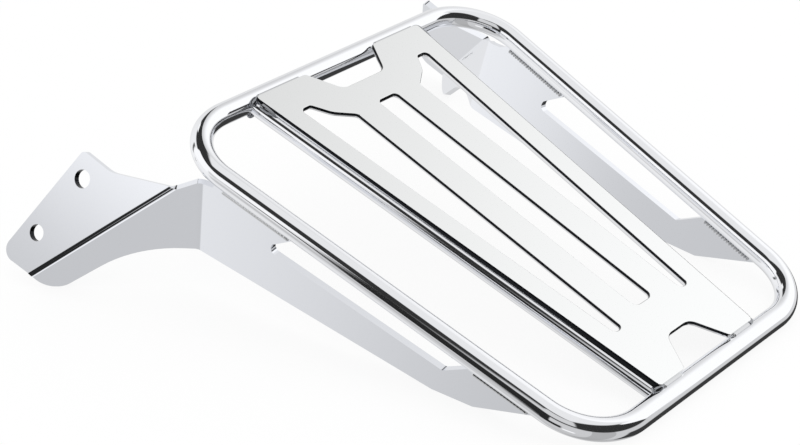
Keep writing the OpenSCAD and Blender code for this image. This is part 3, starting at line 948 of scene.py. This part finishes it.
@dataclass
class Brackets:
    """The two brackets: side plate, joggle and ear, bent from one plate.

    The right one is drawn on the plate's middle surface, one flat after another with the bends curled
    between them, and is then given its thickness. The left one is drawn as its mirror. A corner is how
    far along its flat it lies, how far up, and its radius.

    Attributes:
        hoop: The hoop that they carry.
        thickness: Thickness of the plate.
        skin_trim: How much thinner the drawn plate is, so that it stays within the real one.
        side_lean: Lean of the side plate, its lower edge inward, in degrees.
        depth_front: Depth of the side plate below the tube axis, at the first of `depth_at`.
        depth_rear: The same at the second.
        depth_at: Where the two depths are measured, along the tube.
        land_front: Where the front weld land starts and ends, along the tube.
        land_rear: Where the rear one does.
        scallop: The corners between the lands.
        side_nose: The corner ahead of the front land.
        side_tail: Place along the tube and radius of the lower rear corner.
        first_bend_y: Where the first bend crosses the side plate.
        first_bend_drop: How far under the tube axis that place is taken.
        first_bend_r: Inside radius of the first bend.
        first_on_side: Heights at which the side plate's edges meet the first bend, top and bottom.
        first_on_joggle: The same for the joggle's edges.
        joggle_yaw: Turn of the joggle outward, in degrees.
        joggle_foot: The corners of the joggle's lower edge.
        second_bend_r: Inside radius of the second bend.
        second_on_joggle: Heights at which the joggle's edges meet the second bend.
        second_on_ear: The same for the ear's edges.
        hole_a: Place of the upper hole about the hoop's centre.
        hole_a_d: Its diameter.
        hole_b_d: Diameter of the lower hole.
        hole_b_ahead: How far ahead of the upper hole the lower one lies, along the ear.
        hole_pitch: Distance between the two holes.
        ear_tilt: Tilt of the ear, its lower edge outward, in degrees.
        ear_yaw: Its turn outward from straight ahead, in degrees.
        ear_rim: The corners of its front and top edges.
        edge_r: Rounding of the edges.
    """

    hoop: Hoop
    thickness: float = 4.0
    skin_trim: float = 0.04
    side_lean: float = 4.3
    depth_front: float = 60.4
    depth_rear: float = 36.0
    depth_at: Range = (110.0, -62.0)
    land_front: Range = (51.5, 104.5)
    land_rear: Range = (-107.6, -66.4)
    scallop: tuple[Corner, ...] = ((-52.4, -20.2, 2.5), (64.6, -25.0, 3.2), (64.2, -19.4, 3.0))
    side_nose: Corner = (108.4, -9.8, 4.0)
    side_tail: Range = (-66.0, 9.0)
    first_bend_y: float = 114.7
    first_bend_drop: float = 36.0
    first_bend_r: float = 6.0
    first_on_side: Range = (-11.9, -60.3)
    first_on_joggle: Range = (-13.3, -61.0)
    joggle_yaw: float = 42.7
    joggle_foot: tuple[Corner, ...] = ((31.0, -67.2, 76.0), (73.2, -115.4, 14.0))
    second_bend_r: float = 1.2
    second_on_joggle: Range = (-20.4, -105.0)
    second_on_ear: Range = (28.6, -65.2)
    hole_a: Corner = (148.5, 178.1, -46.7)
    hole_a_d: float = 10.6
    hole_b_d: float = 9.7
    hole_b_ahead: float = 9.5
    hole_pitch: float = 43.8
    ear_tilt: float = 27.5
    ear_yaw: float = 2.9
    ear_rim: tuple[Corner, ...] = ((24.9, -66.6, 7.0), (8.2, 13.6, 3.0), (-14.0, 13.7, 18.0))
    edge_r: float = 0.7

    def __post_init__(self) -> None:
        """Works out the three flats and the two bends of the right bracket."""
        mid = self.thickness / 2
        start = Vector((self.hoop.side_mid_x, 0, 0))
        self.side = Flat.turned(start, self.hoop.yaw, -math.radians(self.side_lean))
        corner = self.side.at(self.first_bend_y, -self.first_bend_drop)
        self.joggle = Flat.turned(Vector((corner.x, corner.y, 0)), math.radians(self.joggle_yaw), 0.0)
        yaw, tilt = math.radians(self.ear_yaw), math.radians(self.ear_tilt)
        self.ear = Flat.turned(Vector(self.hole_a), yaw, tilt)
        reach = -self.ear.off(self.joggle.origin) / self.joggle.along.dot(self.ear.normal)
        self.first = Fold(self.side, self.joggle, corner, self.first_bend_r + mid)
        self.second = Fold(self.joggle, self.ear, self.joggle.at(reach, 0.0), self.second_bend_r + mid)

    @property
    def holes(self) -> tuple[tuple[tuple[float, float], float], ...]:
        """The centres of the two holes in the ear, and their diameters."""
        drop = math.sqrt(self.hole_pitch**2 - self.hole_b_ahead**2)
        return ((0.0, 0.0), self.hole_a_d), ((self.hole_b_ahead, -drop), self.hole_b_d)

    def side_bottom(self, a: float) -> float:
        """Returns the height of the side plate's lower edge at a along."""
        front, rear = self.depth_at
        return -self.depth_rear - (self.depth_front - self.depth_rear) / (front - rear) * (a - rear)

    def side_face(self) -> tuple[list[Vector], list[Vector]]:
        """Returns the side plate's outline, and its top and bottom points on the first bend."""
        ends = [self.side.meet(self.first.rear_edge, self.first.line, h) for h in self.first_on_side]
        top, bottom = (self.side.measure(p) for p in ends)
        tube = -self.hoop.tube_d / 2
        tail, tail_r = self.side_tail
        corners = [
            (*bottom, 0),
            (tail, self.side_bottom(tail), tail_r),
            (self.land_rear[0], tube, 0),
            (self.land_rear[1], tube, 0.8),
            *self.scallop,
            (self.land_front[0], tube, 0.8),
            (self.land_front[1], tube, 1.5),
            self.side_nose,
            (*top, 0),
        ]
        return [self.side.at(a, b) for a, b in rounded(corners)], ends

    def joggle_face(self) -> tuple[list[Vector], list[Vector], list[Vector]]:
        """Returns the joggle's outline, and its top and bottom points on the first and second bend."""
        rear = [self.joggle.meet(self.first.front_edge, self.first.line, h) for h in self.first_on_joggle]
        front = [self.joggle.meet(self.second.rear_edge, self.second.line, h) for h in self.second_on_joggle]
        rear_top, rear_bottom, front_top, front_bottom = (self.joggle.measure(p) for p in (*rear, *front))
        corners = [(*rear_bottom, 0), *self.joggle_foot, (*front_bottom, 0), (*front_top, 0), (*rear_top, 0)]
        return [self.joggle.at(a, b) for a, b in rounded(corners, 4.0)], rear, front

    def ear_face(self) -> tuple[list[Vector], list[Vector]]:
        """Returns the ear's outline, and its top and bottom points on the second bend."""
        ends = [self.ear.meet(self.second.front_edge, self.second.line, h) for h in self.second_on_ear]
        top, bottom = (self.ear.measure(p) for p in ends)
        corners = [(*bottom, 0), *self.ear_rim, (*top, 0)]
        return [self.ear.at(a, b) for a, b in rounded(corners, 4.0)], ends

    def is_dull_and_shaded(self, centre: Vector, normal: Vector) -> bool:
        """Tells whether a face is the wall of an ear hole or the upper edge of the joggle.

        Args:
            centre: The face's centre about the hoop's centre.
            normal: Its normal.

        Returns:
            True for such a face.
        """
        # Both tests have a little slack, to take in the rounded rims.
        p = Vector((abs(centre.x), centre.y, centre.z))
        n = Vector((math.copysign(1.0, centre.x) * normal.x, normal.y, normal.z))
        if abs(n.dot(self.ear.normal)) < 0.7 and self.ear.off(p) < self.thickness:
            for hole, d in self.holes:
                if (p - self.ear.at(*hole)).length < d / 2 + self.thickness / 2 + 0.3:
                    return True
        outer = self.joggle.off(p) > 0.3 and n.dot(self.joggle.normal) > 0.05
        ahead = self.joggle.measure(p)[0] > 2 and p.y < self.second.front_edge.y + 2
        return outer and n.z > 0.3 and ahead

    def model(self, finish: ChromeFinish, walls: ChromeFinish) -> None:
        """Models both brackets.

        Args:
            finish: The plating.
            walls: The plating of the hole walls and of the joggle's upper edge.
        """
        material, lining = finish.make(), walls.make()
        drawn = self.thickness - self.skin_trim
        for side in Side:
            name = f"bracket_{side.name.lower()}"
            piece = self.sheet(f"{name}_plate", side)
            Bench.outward(piece, 0.005)
            Bench.apply(piece, "SOLIDIFY", thickness=drawn * MM, offset=0.0, use_even_offset=True)
            Bench.outward(piece, 0.0005)
            self.true_up(piece, side)
            Bench.round_edges(piece, self.edge_r, 55)
            Bench.hand_over(piece, name, "bracket", material)
            # The hole walls and the joggle's upper edge go nearly black: partly dull plating, partly a
            # painted dark reflection.
            Bench.line_walls(piece, lining, self.is_dull_and_shaded)

    def sheet(self, name: str, side: Side) -> bpy.types.Object:
        """Draws the middle surface of one bracket.

        Args:
            name: The piece's name.
            side: Which bracket.

        Returns:
            The surface, still without thickness.
        """
        side_points, side_ends = self.side_face()
        joggle_points, rear_ends, front_ends = self.joggle_face()
        ear_points, ear_ends = self.ear_face()
        turns = [2 * math.pi * k / 64 for k in range(64)]
        rings = [
            [self.ear.at(p[0] + d / 2 * math.cos(t), p[1] + d / 2 * math.sin(t)) for t in turns]
            for p, d in self.holes
        ]
        pieces = [
            self.face(name, side, [side_points]),
            self.face("joggle", side, [joggle_points]),
            self.face("ear", side, [ear_points, *rings]),
            self.strip("bend", side, self.first.rows(side_ends, rear_ends, 14)),
            self.strip("bend", side, self.second.rows(front_ends, ear_ends, 10)),
        ]
        return Bench.join(pieces)

    @staticmethod
    def face(name: str, side: Side, loops: Sequence[Sequence[Vector]]) -> bpy.types.Object:
        """Draws one flat with its holes.

        Args:
            name: The piece's name.
            side: Which bracket it is for.
            loops: The outline's points about the hoop's centre, then those of each hole.

        Returns:
            The filled flat.
        """
        pieces = []
        for loop in loops:
            points = [mirrored(side, p) for p in loop]
            pieces.append(Bench.open_new(name, points[0]))
            Bench.draw([*points, points[0]])
            bpy.ops.object.mode_set(mode="OBJECT")
        piece = Bench.join(pieces)
        bpy.ops.object.mode_set(mode="EDIT")
        bpy.ops.mesh.select_all(action="SELECT")
        bpy.ops.mesh.remove_doubles(threshold=0.001 * MM)
        bpy.ops.mesh.select_all(action="SELECT")
        bpy.ops.mesh.fill(use_beauty=True)
        bpy.ops.mesh.select_all(action="SELECT")
        bpy.ops.mesh.dissolve_limited(angle_limit=math.radians(0.05))
        bpy.ops.object.mode_set(mode="OBJECT")
        return piece

    @staticmethod
    def strip(name: str, side: Side, rows: Sequence[Sequence[Vector]]) -> bpy.types.Object:
        """Curls a grid one face wide from a bend's first pair of points to its last.

        Args:
            name: The piece's name.
            side: Which bracket it is for.
            rows: The pairs of points about the hoop's centre.

        Returns:
            The strip.
        """
        steps = len(rows) - 1
        Bench.clear()
        bpy.ops.mesh.primitive_grid_add(x_subdivisions=1, y_subdivisions=steps, size=1.0)
        piece = bpy.context.object
        piece.name = name
        for v in piece.data.vertices:
            v.co = mirrored(side, rows[round((v.co.y + 0.5) * steps)][int(v.co.x > 0)])
        return piece

    def true_up(self, piece: bpy.types.Object, side: Side) -> None:
        """Brings the skins of the three flats exactly to their planes.

        Args:
            piece: The bracket with its thickness.
            side: Which bracket it is.
        """
        first, second = self.first, self.second
        flats = (
            (self.side, ((first.rear_edge, first.rear_run),)),
            (self.joggle, ((first.front_edge, -first.front_run), (second.rear_edge, second.rear_run))),
            (self.ear, ((second.front_edge, -second.front_run),)),
        )
        half = (self.thickness - self.skin_trim) / 2
        for v in piece.data.vertices:
            p = v.co / MM - DATUM
            p.x *= side.value
            for flat, limits in flats:
                off = flat.off(p)
                within = all((p - edge).dot(ahead) < 0.1 for edge, ahead in limits)
                if abs(abs(off) - half) < 0.3 and within:
                    p += flat.normal * (math.copysign(half, off) - off)
                    v.co = mirrored(side, p)


@dataclass
class Welds:
    """The welds: rows of overlapping ripples that are run together into beads.

    Attributes:
        hoop: The hoop.
        rods: The inner rods.
        plate: The top plate.
        brackets: The brackets.
        rippled: Spacing of the ripples in millimetres, where they show.
        smooth: Their spacing where they don't.
        grain: Size of the finest detail that is kept.
        squash: A ripple's length along the bead, as a share of its height.
        collar_reach: How far a collar reaches both ways from the rod's right, in degrees.
        collar_r: Radius of the collars round the rods.
        tab_r: Radius of the beads along the tabs' ends.
        tab_inset: How far they stop short of the notch and of the plate's rounded corner.
        corner_r: Radius of the beads between the plate's long edges and the rods.
        corner_run: How far behind the front bar's axis those beads start, and their length.
        corner_sink: How far they have sunk into the corner at their rear end.
        land_r: Radius of the beads along the brackets.
        lands: Where those beads start and end, as distances along the side tube.
    """

    hoop: Hoop
    rods: InnerRods
    plate: TopPlate
    brackets: Brackets
    rippled: float = 2.0
    smooth: float = 0.5
    grain: float = 0.22
    squash: float = 0.62
    collar_reach: float = 130.0
    collar_r: float = 2.2
    tab_r: float = 1.65
    tab_inset: Range = (4.3, 1.3)
    corner_r: float = 2.1
    corner_run: Range = (11.0, 9.6)
    corner_sink: float = 1.9
    land_r: float = 1.45
    lands: tuple[tuple[End, float, float], ...] = ((End.FRONT, 54.8, 100.2), (End.REAR, -103.2, -69.8))

    def model(self, finish: WeldFinish, painted_shade: WeldFinish) -> None:
        """Lays every bead of the rack.

        Args:
            finish: The plating over the weld metal.
            painted_shade: The same in a darker grey, painted shade, for the beads that lie deep in a corner.
        """
        # The collars and the plate's corner beads take the darker grey: painted shade deep in the corners.
        material, deep = finish.make(), painted_shade.make()
        for side in Side:
            hand = side.name.lower()
            for end in End:
                where = f"{end.name.lower()}_{hand}"
                self.lay(f"weld_rod_{where}", [(self.collar(side, end), self.smooth)], self.collar_r, deep)
                self.lay(f"weld_tab_{where}", [(self.tab(side, end), self.smooth)], self.tab_r, material)
            front = [(self.corner(side), self.smooth)]
            self.lay(f"weld_plate_front_{hand}", front, self.corner_r, deep)
            for end, start, stop in self.lands:
                inner, outer = (self.land(side, start, stop, skin) for skin in (-1, 1))
                paths = [(inner, self.rippled), (outer, self.smooth)]
                self.lay(f"weld_bracket_{end.name.lower()}_{hand}", paths, self.land_r, material)

    def collar(self, side: Side, end: End) -> list[Vector]:
        """Returns the path of a weld round a rod's coped end, which is open on the rod's left.

        Args:
            side: Which rod.
            end: Which end of it.

        Returns:
            The path's points about the hoop's centre.
        """
        r, tube = self.rods.rod_d / 2, self.hoop.tube_d / 2
        x = side.value * self.rods.axis_x(end.value * self.hoop.half_l)
        points = []
        for k in range(73):
            turn = math.radians(self.collar_reach * (1 - k / 36))
            z = r * math.sin(turn)
            y = self.hoop.half_l - math.sqrt(tube * tube - z * z) - 0.4
            points.append(Vector((x + (r + 0.2) * math.cos(turn), end.value * y, z)))
        return points

    def tab(self, side: Side, end: End) -> list[Vector]:
        """Returns the path along the end edge of one tab of the plate.

        Args:
            side: Which tab.
            end: At which bar.

        Returns:
            The path's points about the hoop's centre.
        """
        notch = self.plate.front_notch if end is End.FRONT else self.plate.rear_notch
        inner, y = notch.half_w + self.tab_inset[0], end.value * (self.plate.end_y + 0.5)
        outer = self.plate.edge_x(end.value * self.plate.end_y) - self.plate.corner_r - self.tab_inset[1]
        z = self.plate.underside + 0.5
        return [Vector((side.value * (inner + (outer - inner) * k / 40), y, z)) for k in range(41)]

    def corner(self, side: Side) -> list[Vector]:
        """Returns the path of the short bead between the plate's long edge and a rod.

        Args:
            side: Which rod.

        Returns:
            The path's points about the hoop's centre, sinking into the corner towards the rear.
        """
        points = []
        start, length = self.corner_run
        for share in (k / 12 for k in range(13)):
            y = self.hoop.half_l - start - length * share
            sink = self.corner_sink * share**2
            x = self.plate.edge_x(y) + 0.2 - sink
            points.append(Vector((side.value * x, y, self.plate.underside + 0.6 - sink / 2)))
        return points

    def land(self, side: Side, start: float, stop: float, skin: int) -> list[Vector]:
        """Returns the path along one skin of a bracket, under the side tube.

        Args:
            side: Which bracket.
            start: Where it starts, along the tube.
            stop: Where it ends.
            skin: Which skin, as the sign along the bracket's normal.

        Returns:
            The path's points about the hoop's centre.
        """
        flat, under = self.brackets.side, -self.hoop.tube_d / 2 - 0.5
        off = skin * (self.brackets.thickness / 2 + 0.5) * flat.normal
        points = [flat.at(start + (stop - start) * k / 50, under) + off for k in range(51)]
        return [Vector((side.value * p.x, p.y, p.z)) for p in points]

    def lay(
        self,
        node: str,
        paths: Sequence[tuple[list[Vector], float]],
        radius: float,
        finish: bpy.types.Material,
    ) -> None:
        """Sets ripples along some paths, joins them and runs them together.

        Args:
            node: The CAD node that the bead stands for.
            paths: Each path, about the hoop's centre, and the spacing of its ripples.
            radius: The bead's radius.
            finish: The finish.
        """
        ripples = []
        for path, pitch in paths:
            length = sum((b - a).length for a, b in zip(path, path[1:]))
            count = max(2, round(length / pitch))
            sway = 0.05 if pitch > self.smooth else 0.0
            for k in range(count + 1):
                spot = (len(path) - 1) * k / count
                i = min(int(spot), len(path) - 2)
                run = path[i + 1] - path[i]
                size = radius * (1 - sway * math.sin(2.4 * k))
                ripples.append(self.ripple(path[i] + run * (spot - i), run, size))
        bead = Bench.join(ripples)
        bead.name = f"{node}_bead"
        Bench.apply(bead, "REMESH", mode="VOXEL", voxel_size=self.grain * MM)
        Bench.apply(bead, "SMOOTH", factor=0.5, iterations=12)
        Bench.smooth(bead, 180)
        Bench.hand_over(bead, node, "weld", finish)

    def ripple(self, centre: Vector, run: Vector, radius: float) -> bpy.types.Object:
        """Adds one ripple, a ball that is flattened along the bead.

        Args:
            centre: Its place about the hoop's centre.
            run: The bead's direction.
            radius: Its radius in millimetres.

        Returns:
            The ripple.
        """
        bpy.ops.mesh.primitive_uv_sphere_add(segments=16, ring_count=10, radius=radius * MM)
        ball = bpy.context.object
        turn = run.to_track_quat("Z", "Y").to_matrix().to_4x4()
        flatten = Matrix.Diagonal((1.0, 1.0, self.squash, 1.0))
        ball.data.transform(Matrix.Translation(place(*centre)) @ turn @ flatten)
        return ball


@dataclass(frozen=True)
class Panel:
    """A soft box or a dark card round the rack, as the chrome sees it.

    Attributes:
        across: Its least and greatest azimuth in degrees, from the rack's front towards its right.
        height: Its least and greatest elevation.
        tone: Its brightness at its left end.
        end_tone: Its brightness from `full` on, if it changes.
        full: The azimuth at which it reaches its end tone.
        soft: Half the width of its soft edge, in degrees.
    """

    across: Range
    height: Range
    tone: float
    end_tone: float | None = None
    full: float = 0.0
    soft: float = 1.2

    def level(self, sheet: NodeSheet, az: object) -> object:
        """Returns the panel's brightness, or the node that gives it by the azimuth.

        Args:
            sheet: The world's nodes.
            az: The azimuth.

        Returns:
            A number or a node.
        """
        if self.end_tone is None:
            return self.tone
        return sheet.node("MapRange", az, self.across[0], self.full, self.tone, self.end_tone, **EASED)


@dataclass
class Studio:
    """The floor, the lamp, the surroundings and the camera.

    A mapping is two angles or distances and the amount at each, with a smooth change between them.

    Attributes:
        eye: The camera's place in metres.
        right: The camera's right-hand direction.
        down: The camera's downward direction.
        ahead: The direction that it looks in.
        lens: Its focal length for a sensor 36 mm wide.
        gain: Brightness of the surroundings as a whole.
        left_tone: Brightness of the lower surroundings by azimuth, darker at the far left.
        right_fall: What they lose towards the front right.
        rear_fall: What they lose towards the rear right.
        foot: Share of that brightness by elevation, less straight below.
        dip: What they lose further low down, by elevation.
        dip_across: Share of that loss by azimuth, so that it falls on the right alone.
        skyline: Share of the lower surroundings by elevation: above it the studio is dark.
        dark: Brightness of that dark part.
        seam: The azimuth behind which the angles run on past 180 degrees.
        sky_x: The soft box overhead from left to right, as x over z.
        sky_y: The same from rear to front, as y over z.
        sky_soft: Half the width of its soft edge, in those ratios.
        sky_least_z: The least z that they are taken with.
        sky_tone: Its brightness.
        floor_r: The floor's radius in metres.
        floor_gap: How far it lies under the rack's lowest points, in metres.
        floor_fade: How it goes from matt to plain white, by the distance in metres.
        lamp_at: The lamp's place in metres.
        lamp_size: Its width in metres.
        lamp_power: Its power in watts.
        panels: The soft boxes and the dark cards, the later ones in front.
    """

    eye: Corner = (-0.70959, -0.55367, 0.69847)
    right: Corner = (0.67015, -0.70569, 0.22999)
    down: Corner = (-0.36714, -0.58448, -0.72360)
    ahead: Corner = (0.64506, 0.40048, -0.65078)
    lens: float = 84.09
    gain: float = 1.1
    left_tone: Mapping = (-78.0, -50.0, 0.56, 0.84)
    right_fall: Mapping = (-5.0, 40.0, 0.0, -0.12)
    rear_fall: Mapping = (84.0, 150.0, 0.0, -0.16)
    foot: Mapping = (-80.0, -30.0, 0.86, 1.0)
    dip: Mapping = (-58.0, -40.0, -0.08, 0.0)
    dip_across: Mapping = (-20.0, 4.0, 0.0, 1.0)
    skyline: Mapping = (15.0, 21.0, 1.0, 0.0)
    dark: float = 0.03
    seam: float = -150.0
    sky_x: Range = (-0.45, 0.66)
    sky_y: Range = (-0.32, 0.74)
    sky_soft: float = 0.05
    sky_least_z: float = 0.05
    sky_tone: float = 0.80
    floor_r: float = 6.0
    floor_gap: float = 0.0004
    floor_fade: Mapping = (0.25, 0.8, 0.88, 1.0)
    lamp_at: Corner = (0.1, -0.1, 1.8)
    lamp_size: float = 1.6
    lamp_power: float = 6.0
    panels: tuple[Panel, ...] = (
        # The wide box on the right, in the top of the plate and the tubes' upper flanks.
        Panel((37.0, 134.0), (12.0, 58.0), 0.62, end_tone=1.0, full=76.0),
        # The box on the left, in the near ear and the tubes.
        Panel((-73.5, -16.0), (-14.0, 29.0), 0.94, end_tone=0.97, full=-40.0),
        # Dark cards at the left, for the dark lines along the tubes and the near rod.
        Panel((-96.0, -75.0), (-15.0, 24.0), 0.02),
        Panel((-78.0, -70.8), (-6.0, 2.0), 0.02, soft=1.0),
        # A grey card in front of the left box, for the grey of the near ear.
        Panel((-71.0, -55.0), (-12.0, 3.8), 0.62, soft=3.2),
        # A grey card low at the left, in the far bracket's side plate.
        Panel((-80.0, -54.0), (-37.0, -23.0), 0.46, end_tone=0.62, full=-52.0, soft=4.0),
        # A bright strip and a dark card low at the left rear, in the near bracket's rounded edges.
        Panel((-132.0, -115.0), (-39.0, -28.0), 0.95, soft=2.0),
        Panel((-113.0, -82.0), (-33.0, -13.0), 0.02, soft=2.0),
        # A dark card low on the right, for a dark line along the hoop.
        Panel((82.0, 162.0), (-53.0, -12.0), 0.04, soft=3.0),
        # A narrow dark card ahead, which hardly shows from the photograph's side.
        Panel((-14.0, -8.0), (-24.0, 6.0), 0.12, soft=2.0),
        # A small box for the bend of the far bracket, which would be black without it.
        Panel((12.0, 22.0), (17.0, 26.0), 0.95, soft=1.0),
        # A grey box at the left rear, which keeps the plate grey where it is seen from the right.
        Panel((-130.0, -78.0), (27.0, 60.0), 0.62, soft=3.0),
    )

    def camera(self) -> None:
        """Puts the camera where the photograph was taken from."""
        data = bpy.data.cameras.new("camera")
        data.lens = self.lens
        data.sensor_width = 36.0
        data.sensor_fit = "HORIZONTAL"
        data.clip_start, data.clip_end = 0.05, 50.0
        cam = bpy.data.objects.new("camera", data)
        bpy.context.scene.collection.objects.link(cam)
        axes = Matrix((self.right, [-v for v in self.down], [-v for v in self.ahead])).transposed()
        cam.matrix_world = Matrix.Translation(self.eye) @ axes.to_4x4()
        bpy.context.scene.camera = cam

    def world(self) -> None:
        """Surrounds the rack: white to the camera and the floor, a studio with soft boxes to the chrome."""
        world = bpy.data.worlds.new("studio")
        bpy.context.scene.world = world
        world.use_nodes = True
        sheet = NodeSheet(world.node_tree)
        x, y, z = sheet.node("SeparateXYZ", sheet.node("TexCoord").outputs["Generated"]).outputs
        az = sheet.node("Math", sheet.node("Math", x, y, operation="ARCTAN2"), operation="DEGREES")
        el = sheet.node("Math", sheet.node("Math", z, operation="ARCSINE"), operation="DEGREES")
        behind = sheet.node("Math", az, self.seam, operation="LESS_THAN")
        turned = sheet.node("Math", behind, 360.0, az, operation="MULTIPLY_ADD")
        tone = self.backdrop(sheet, az, turned, el)
        for panel in self.panels:
            angle = turned if panel.across[1] > -self.seam else az
            mask = self.window(sheet, (angle, *panel.across), (el, *panel.height), soft=panel.soft)
            tone = self.cover(sheet, tone, mask, panel.level(sheet, az))
        above = sheet.node("Math", z, self.sky_least_z, operation="MAXIMUM")
        sideways, forward = (sheet.node("Math", way, above, operation="DIVIDE") for way in (x, y))
        ranges = (sideways, *self.sky_x), (forward, *self.sky_y)
        mask = self.window(sheet, *ranges, soft=self.sky_soft)
        tone = self.cover(sheet, tone, mask, self.sky_tone)
        tone = sheet.node("Math", tone, self.gain, operation="MULTIPLY")
        boxes = sheet.node("Background", sheet.node("CombineColor", tone, tone, tone), 1.0)
        plain = sheet.node("Background", (1.0, 1.0, 1.0, 1.0), 1.0)
        glossy = sheet.node("LightPath").outputs["Is Glossy Ray"]
        sheet.node("OutputWorld", sheet.node("MixShader", glossy, plain, boxes))

    def backdrop(self, sheet: NodeSheet, az: object, turned: object, el: object) -> bpy.types.Node:
        """Works out the surroundings behind the panels.

        Args:
            sheet: The world's nodes.
            az: The direction's azimuth.
            turned: The same, run on past 180 degrees behind the seam.
            el: Its elevation.

        Returns:
            The node of their brightness.
        """
        low = sheet.node("MapRange", az, *self.left_tone, **EASED)
        for angle, fall in ((az, self.right_fall), (turned, self.rear_fall)):
            low = sheet.node("Math", low, sheet.node("MapRange", angle, *fall, **EASED), operation="ADD")
        foot = sheet.node("MapRange", el, *self.foot, **EASED)
        low = sheet.node("Math", low, foot, operation="MULTIPLY")
        dip = sheet.node("MapRange", el, *self.dip, **EASED)
        across = sheet.node("MapRange", az, *self.dip_across, **EASED)
        low = sheet.node("Math", dip, across, low, operation="MULTIPLY_ADD")
        share = sheet.node("MapRange", el, *self.skyline, **EASED)
        return sheet.node("Math", share, low, self.dark, operation="MULTIPLY_ADD")

    @staticmethod
    def window(sheet: NodeSheet, *ranges: tuple[object, float, float], soft: float) -> bpy.types.Node:
        """Masks a box in two values.

        Args:
            sheet: The world's nodes.
            *ranges: Two ranges, each a value with its least and its greatest amount.
            soft: Half the width of the box's soft edge.

        Returns:
            A node that is 1 within both ranges.
        """
        ends = []
        for value, low, high in ranges:
            rise = sheet.node("MapRange", value, low - soft, low + soft, 0.0, 1.0, **EASED)
            fall = sheet.node("MapRange", value, high - soft, high + soft, 1.0, 0.0, **EASED)
            ends.append(sheet.node("Math", rise, fall, operation="MULTIPLY"))
        return sheet.node("Math", *ends, operation="MULTIPLY")

    @staticmethod
    def cover(sheet: NodeSheet, tone: object, mask: object, level: object) -> bpy.types.Node:
        """Puts a brightness in front of another one.

        Args:
            sheet: The world's nodes.
            tone: The brightness behind.
            mask: 1 where the new one covers it.
            level: The new one.

        Returns:
            The node of the two together.
        """
        change = sheet.node("Math", level, tone, operation="SUBTRACT")
        return sheet.node("Math", mask, change, tone, operation="MULTIPLY_ADD")

    def floor(self, corner: Vector, bar: Vector) -> None:
        """Lays the floor under the brackets' lowest corners and the rear bar.

        Args:
            corner: A bracket's lowest corner, in metres.
            bar: The lowest point of the rear bar.
        """
        run = Vector((0.0, corner.y - bar.y, corner.z - bar.z)).normalized()
        normal = Vector((1.0, 0.0, 0.0)).cross(run)
        Bench.clear()
        bpy.ops.mesh.primitive_circle_add(vertices=96, radius=self.floor_r, fill_type="NGON")
        piece = bpy.context.object
        piece.name = "floor"
        axes = Matrix(((1.0, 0.0, 0.0), run, normal)).transposed().to_4x4()
        piece.data.transform(Matrix.Translation(corner - normal * self.floor_gap) @ axes)
        # Matt near the rack, for its shadow, and plain white further off, as the photograph's ground is.
        material = bpy.data.materials.new("pale_floor")
        material.use_nodes = True
        sheet = NodeSheet(material.node_tree)
        matt = sheet.node("BsdfDiffuse", linear("#F4F4F4"))
        white = sheet.node("Emission", (1.0, 1.0, 1.0, 1.0), 1.0)
        where = sheet.node("TexCoord").outputs["Object"]
        far = sheet.node("VectorMath", where, operation="LENGTH").outputs["Value"]
        fade = sheet.node("MapRange", far, *self.floor_fade, **EASED)
        sheet.node("OutputMaterial", sheet.node("MixShader", fade, matt, white))
        piece.data.materials.append(material)
        piece.visible_glossy = False

    def lamp(self) -> None:
        """Hangs one broad soft lamp over the rack for the floor's shadow."""
        data = bpy.data.lights.new("overhead", "AREA")
        data.shape = "DISK"
        data.size = self.lamp_size
        data.energy = self.lamp_power
        lamp = bpy.data.objects.new("overhead", data)
        lamp.matrix_world = Matrix.Translation(self.lamp_at)
        lamp.visible_glossy = False
        bpy.context.scene.collection.objects.link(lamp)


def main() -> None:
    """Loads the frame, models and dresses every piece and sets the studio up."""
    logging.basicConfig(level=logging.INFO, format="%(name)s: %(message)s")
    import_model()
    hoop = Hoop()
    # Drawn tube and rod: bright mirrors that stretch the studio into long bands.
    hoop.model(ChromeFinish("chrome_tube"))
    rods = InnerRods(hoop)
    rods.model(ChromeFinish("chrome_rod"))
    plate = TopPlate(rods)
    # The plate, rolled flat: slow, broad waves that bend its reflections a little.
    rolled = ChromeFinish("chrome_plate", colour="#F3F4F4", swell_mm=60.0, swell=0.02)
    # Its cut walls: nearly black, partly dull plating and partly a painted dark reflection, with a painted
    # highlight along the bottom.
    highlight_top = plate.underside + 1.3
    walls = CutFinish("chrome_cut_wall", colour="#222326", roughness=0.12, highlight_below=highlight_top)
    # Its long edges: the same, with a thinner painted highlight that widens towards the front.
    highlight_top = plate.underside + 0.65
    edges = CutFinish(
        "chrome_cut_edge", colour="#222326", roughness=0.12, highlight_below=highlight_top, rise=0.0072
    )
    plate.model(rolled, walls, edges)
    brackets = Brackets(hoop)
    # The brackets, heavy plate: a little bluer than the tube, with higher and broader waves. The hole
    # walls and the joggle's upper edge are nearly black.
    plating = ChromeFinish("chrome_bracket", colour="#EFF1F6", swell_mm=45.0, swell=0.02)
    # The black of the hole walls and the joggle's upper edge is partly dull plating and partly a painted
    # dark reflection.
    brackets.model(plating, CutFinish("chrome_cut_hole", colour="#2A2B2E", roughness=0.12))
    # The welds: a light grey shine, and a darker grey deep in the corners, which is painted shade.
    weld = WeldFinish("chrome_weld", colour="#D4D5D7", roughness=0.03, haze=0.03)
    deep = WeldFinish("chrome_weld_painted_shade", colour="#9A9CA0", roughness=0.02, haze=0.02)
    Welds(hoop, rods, plate, brackets).model(weld, deep)
    studio = Studio()
    studio.camera()
    studio.world()
    studio.floor(place(*BRACKET_FOOT), place(*BAR_FOOT))
    studio.lamp()
    bpy.context.scene.view_settings.view_transform = "Standard"


if __name__ == "__main__":
    main()
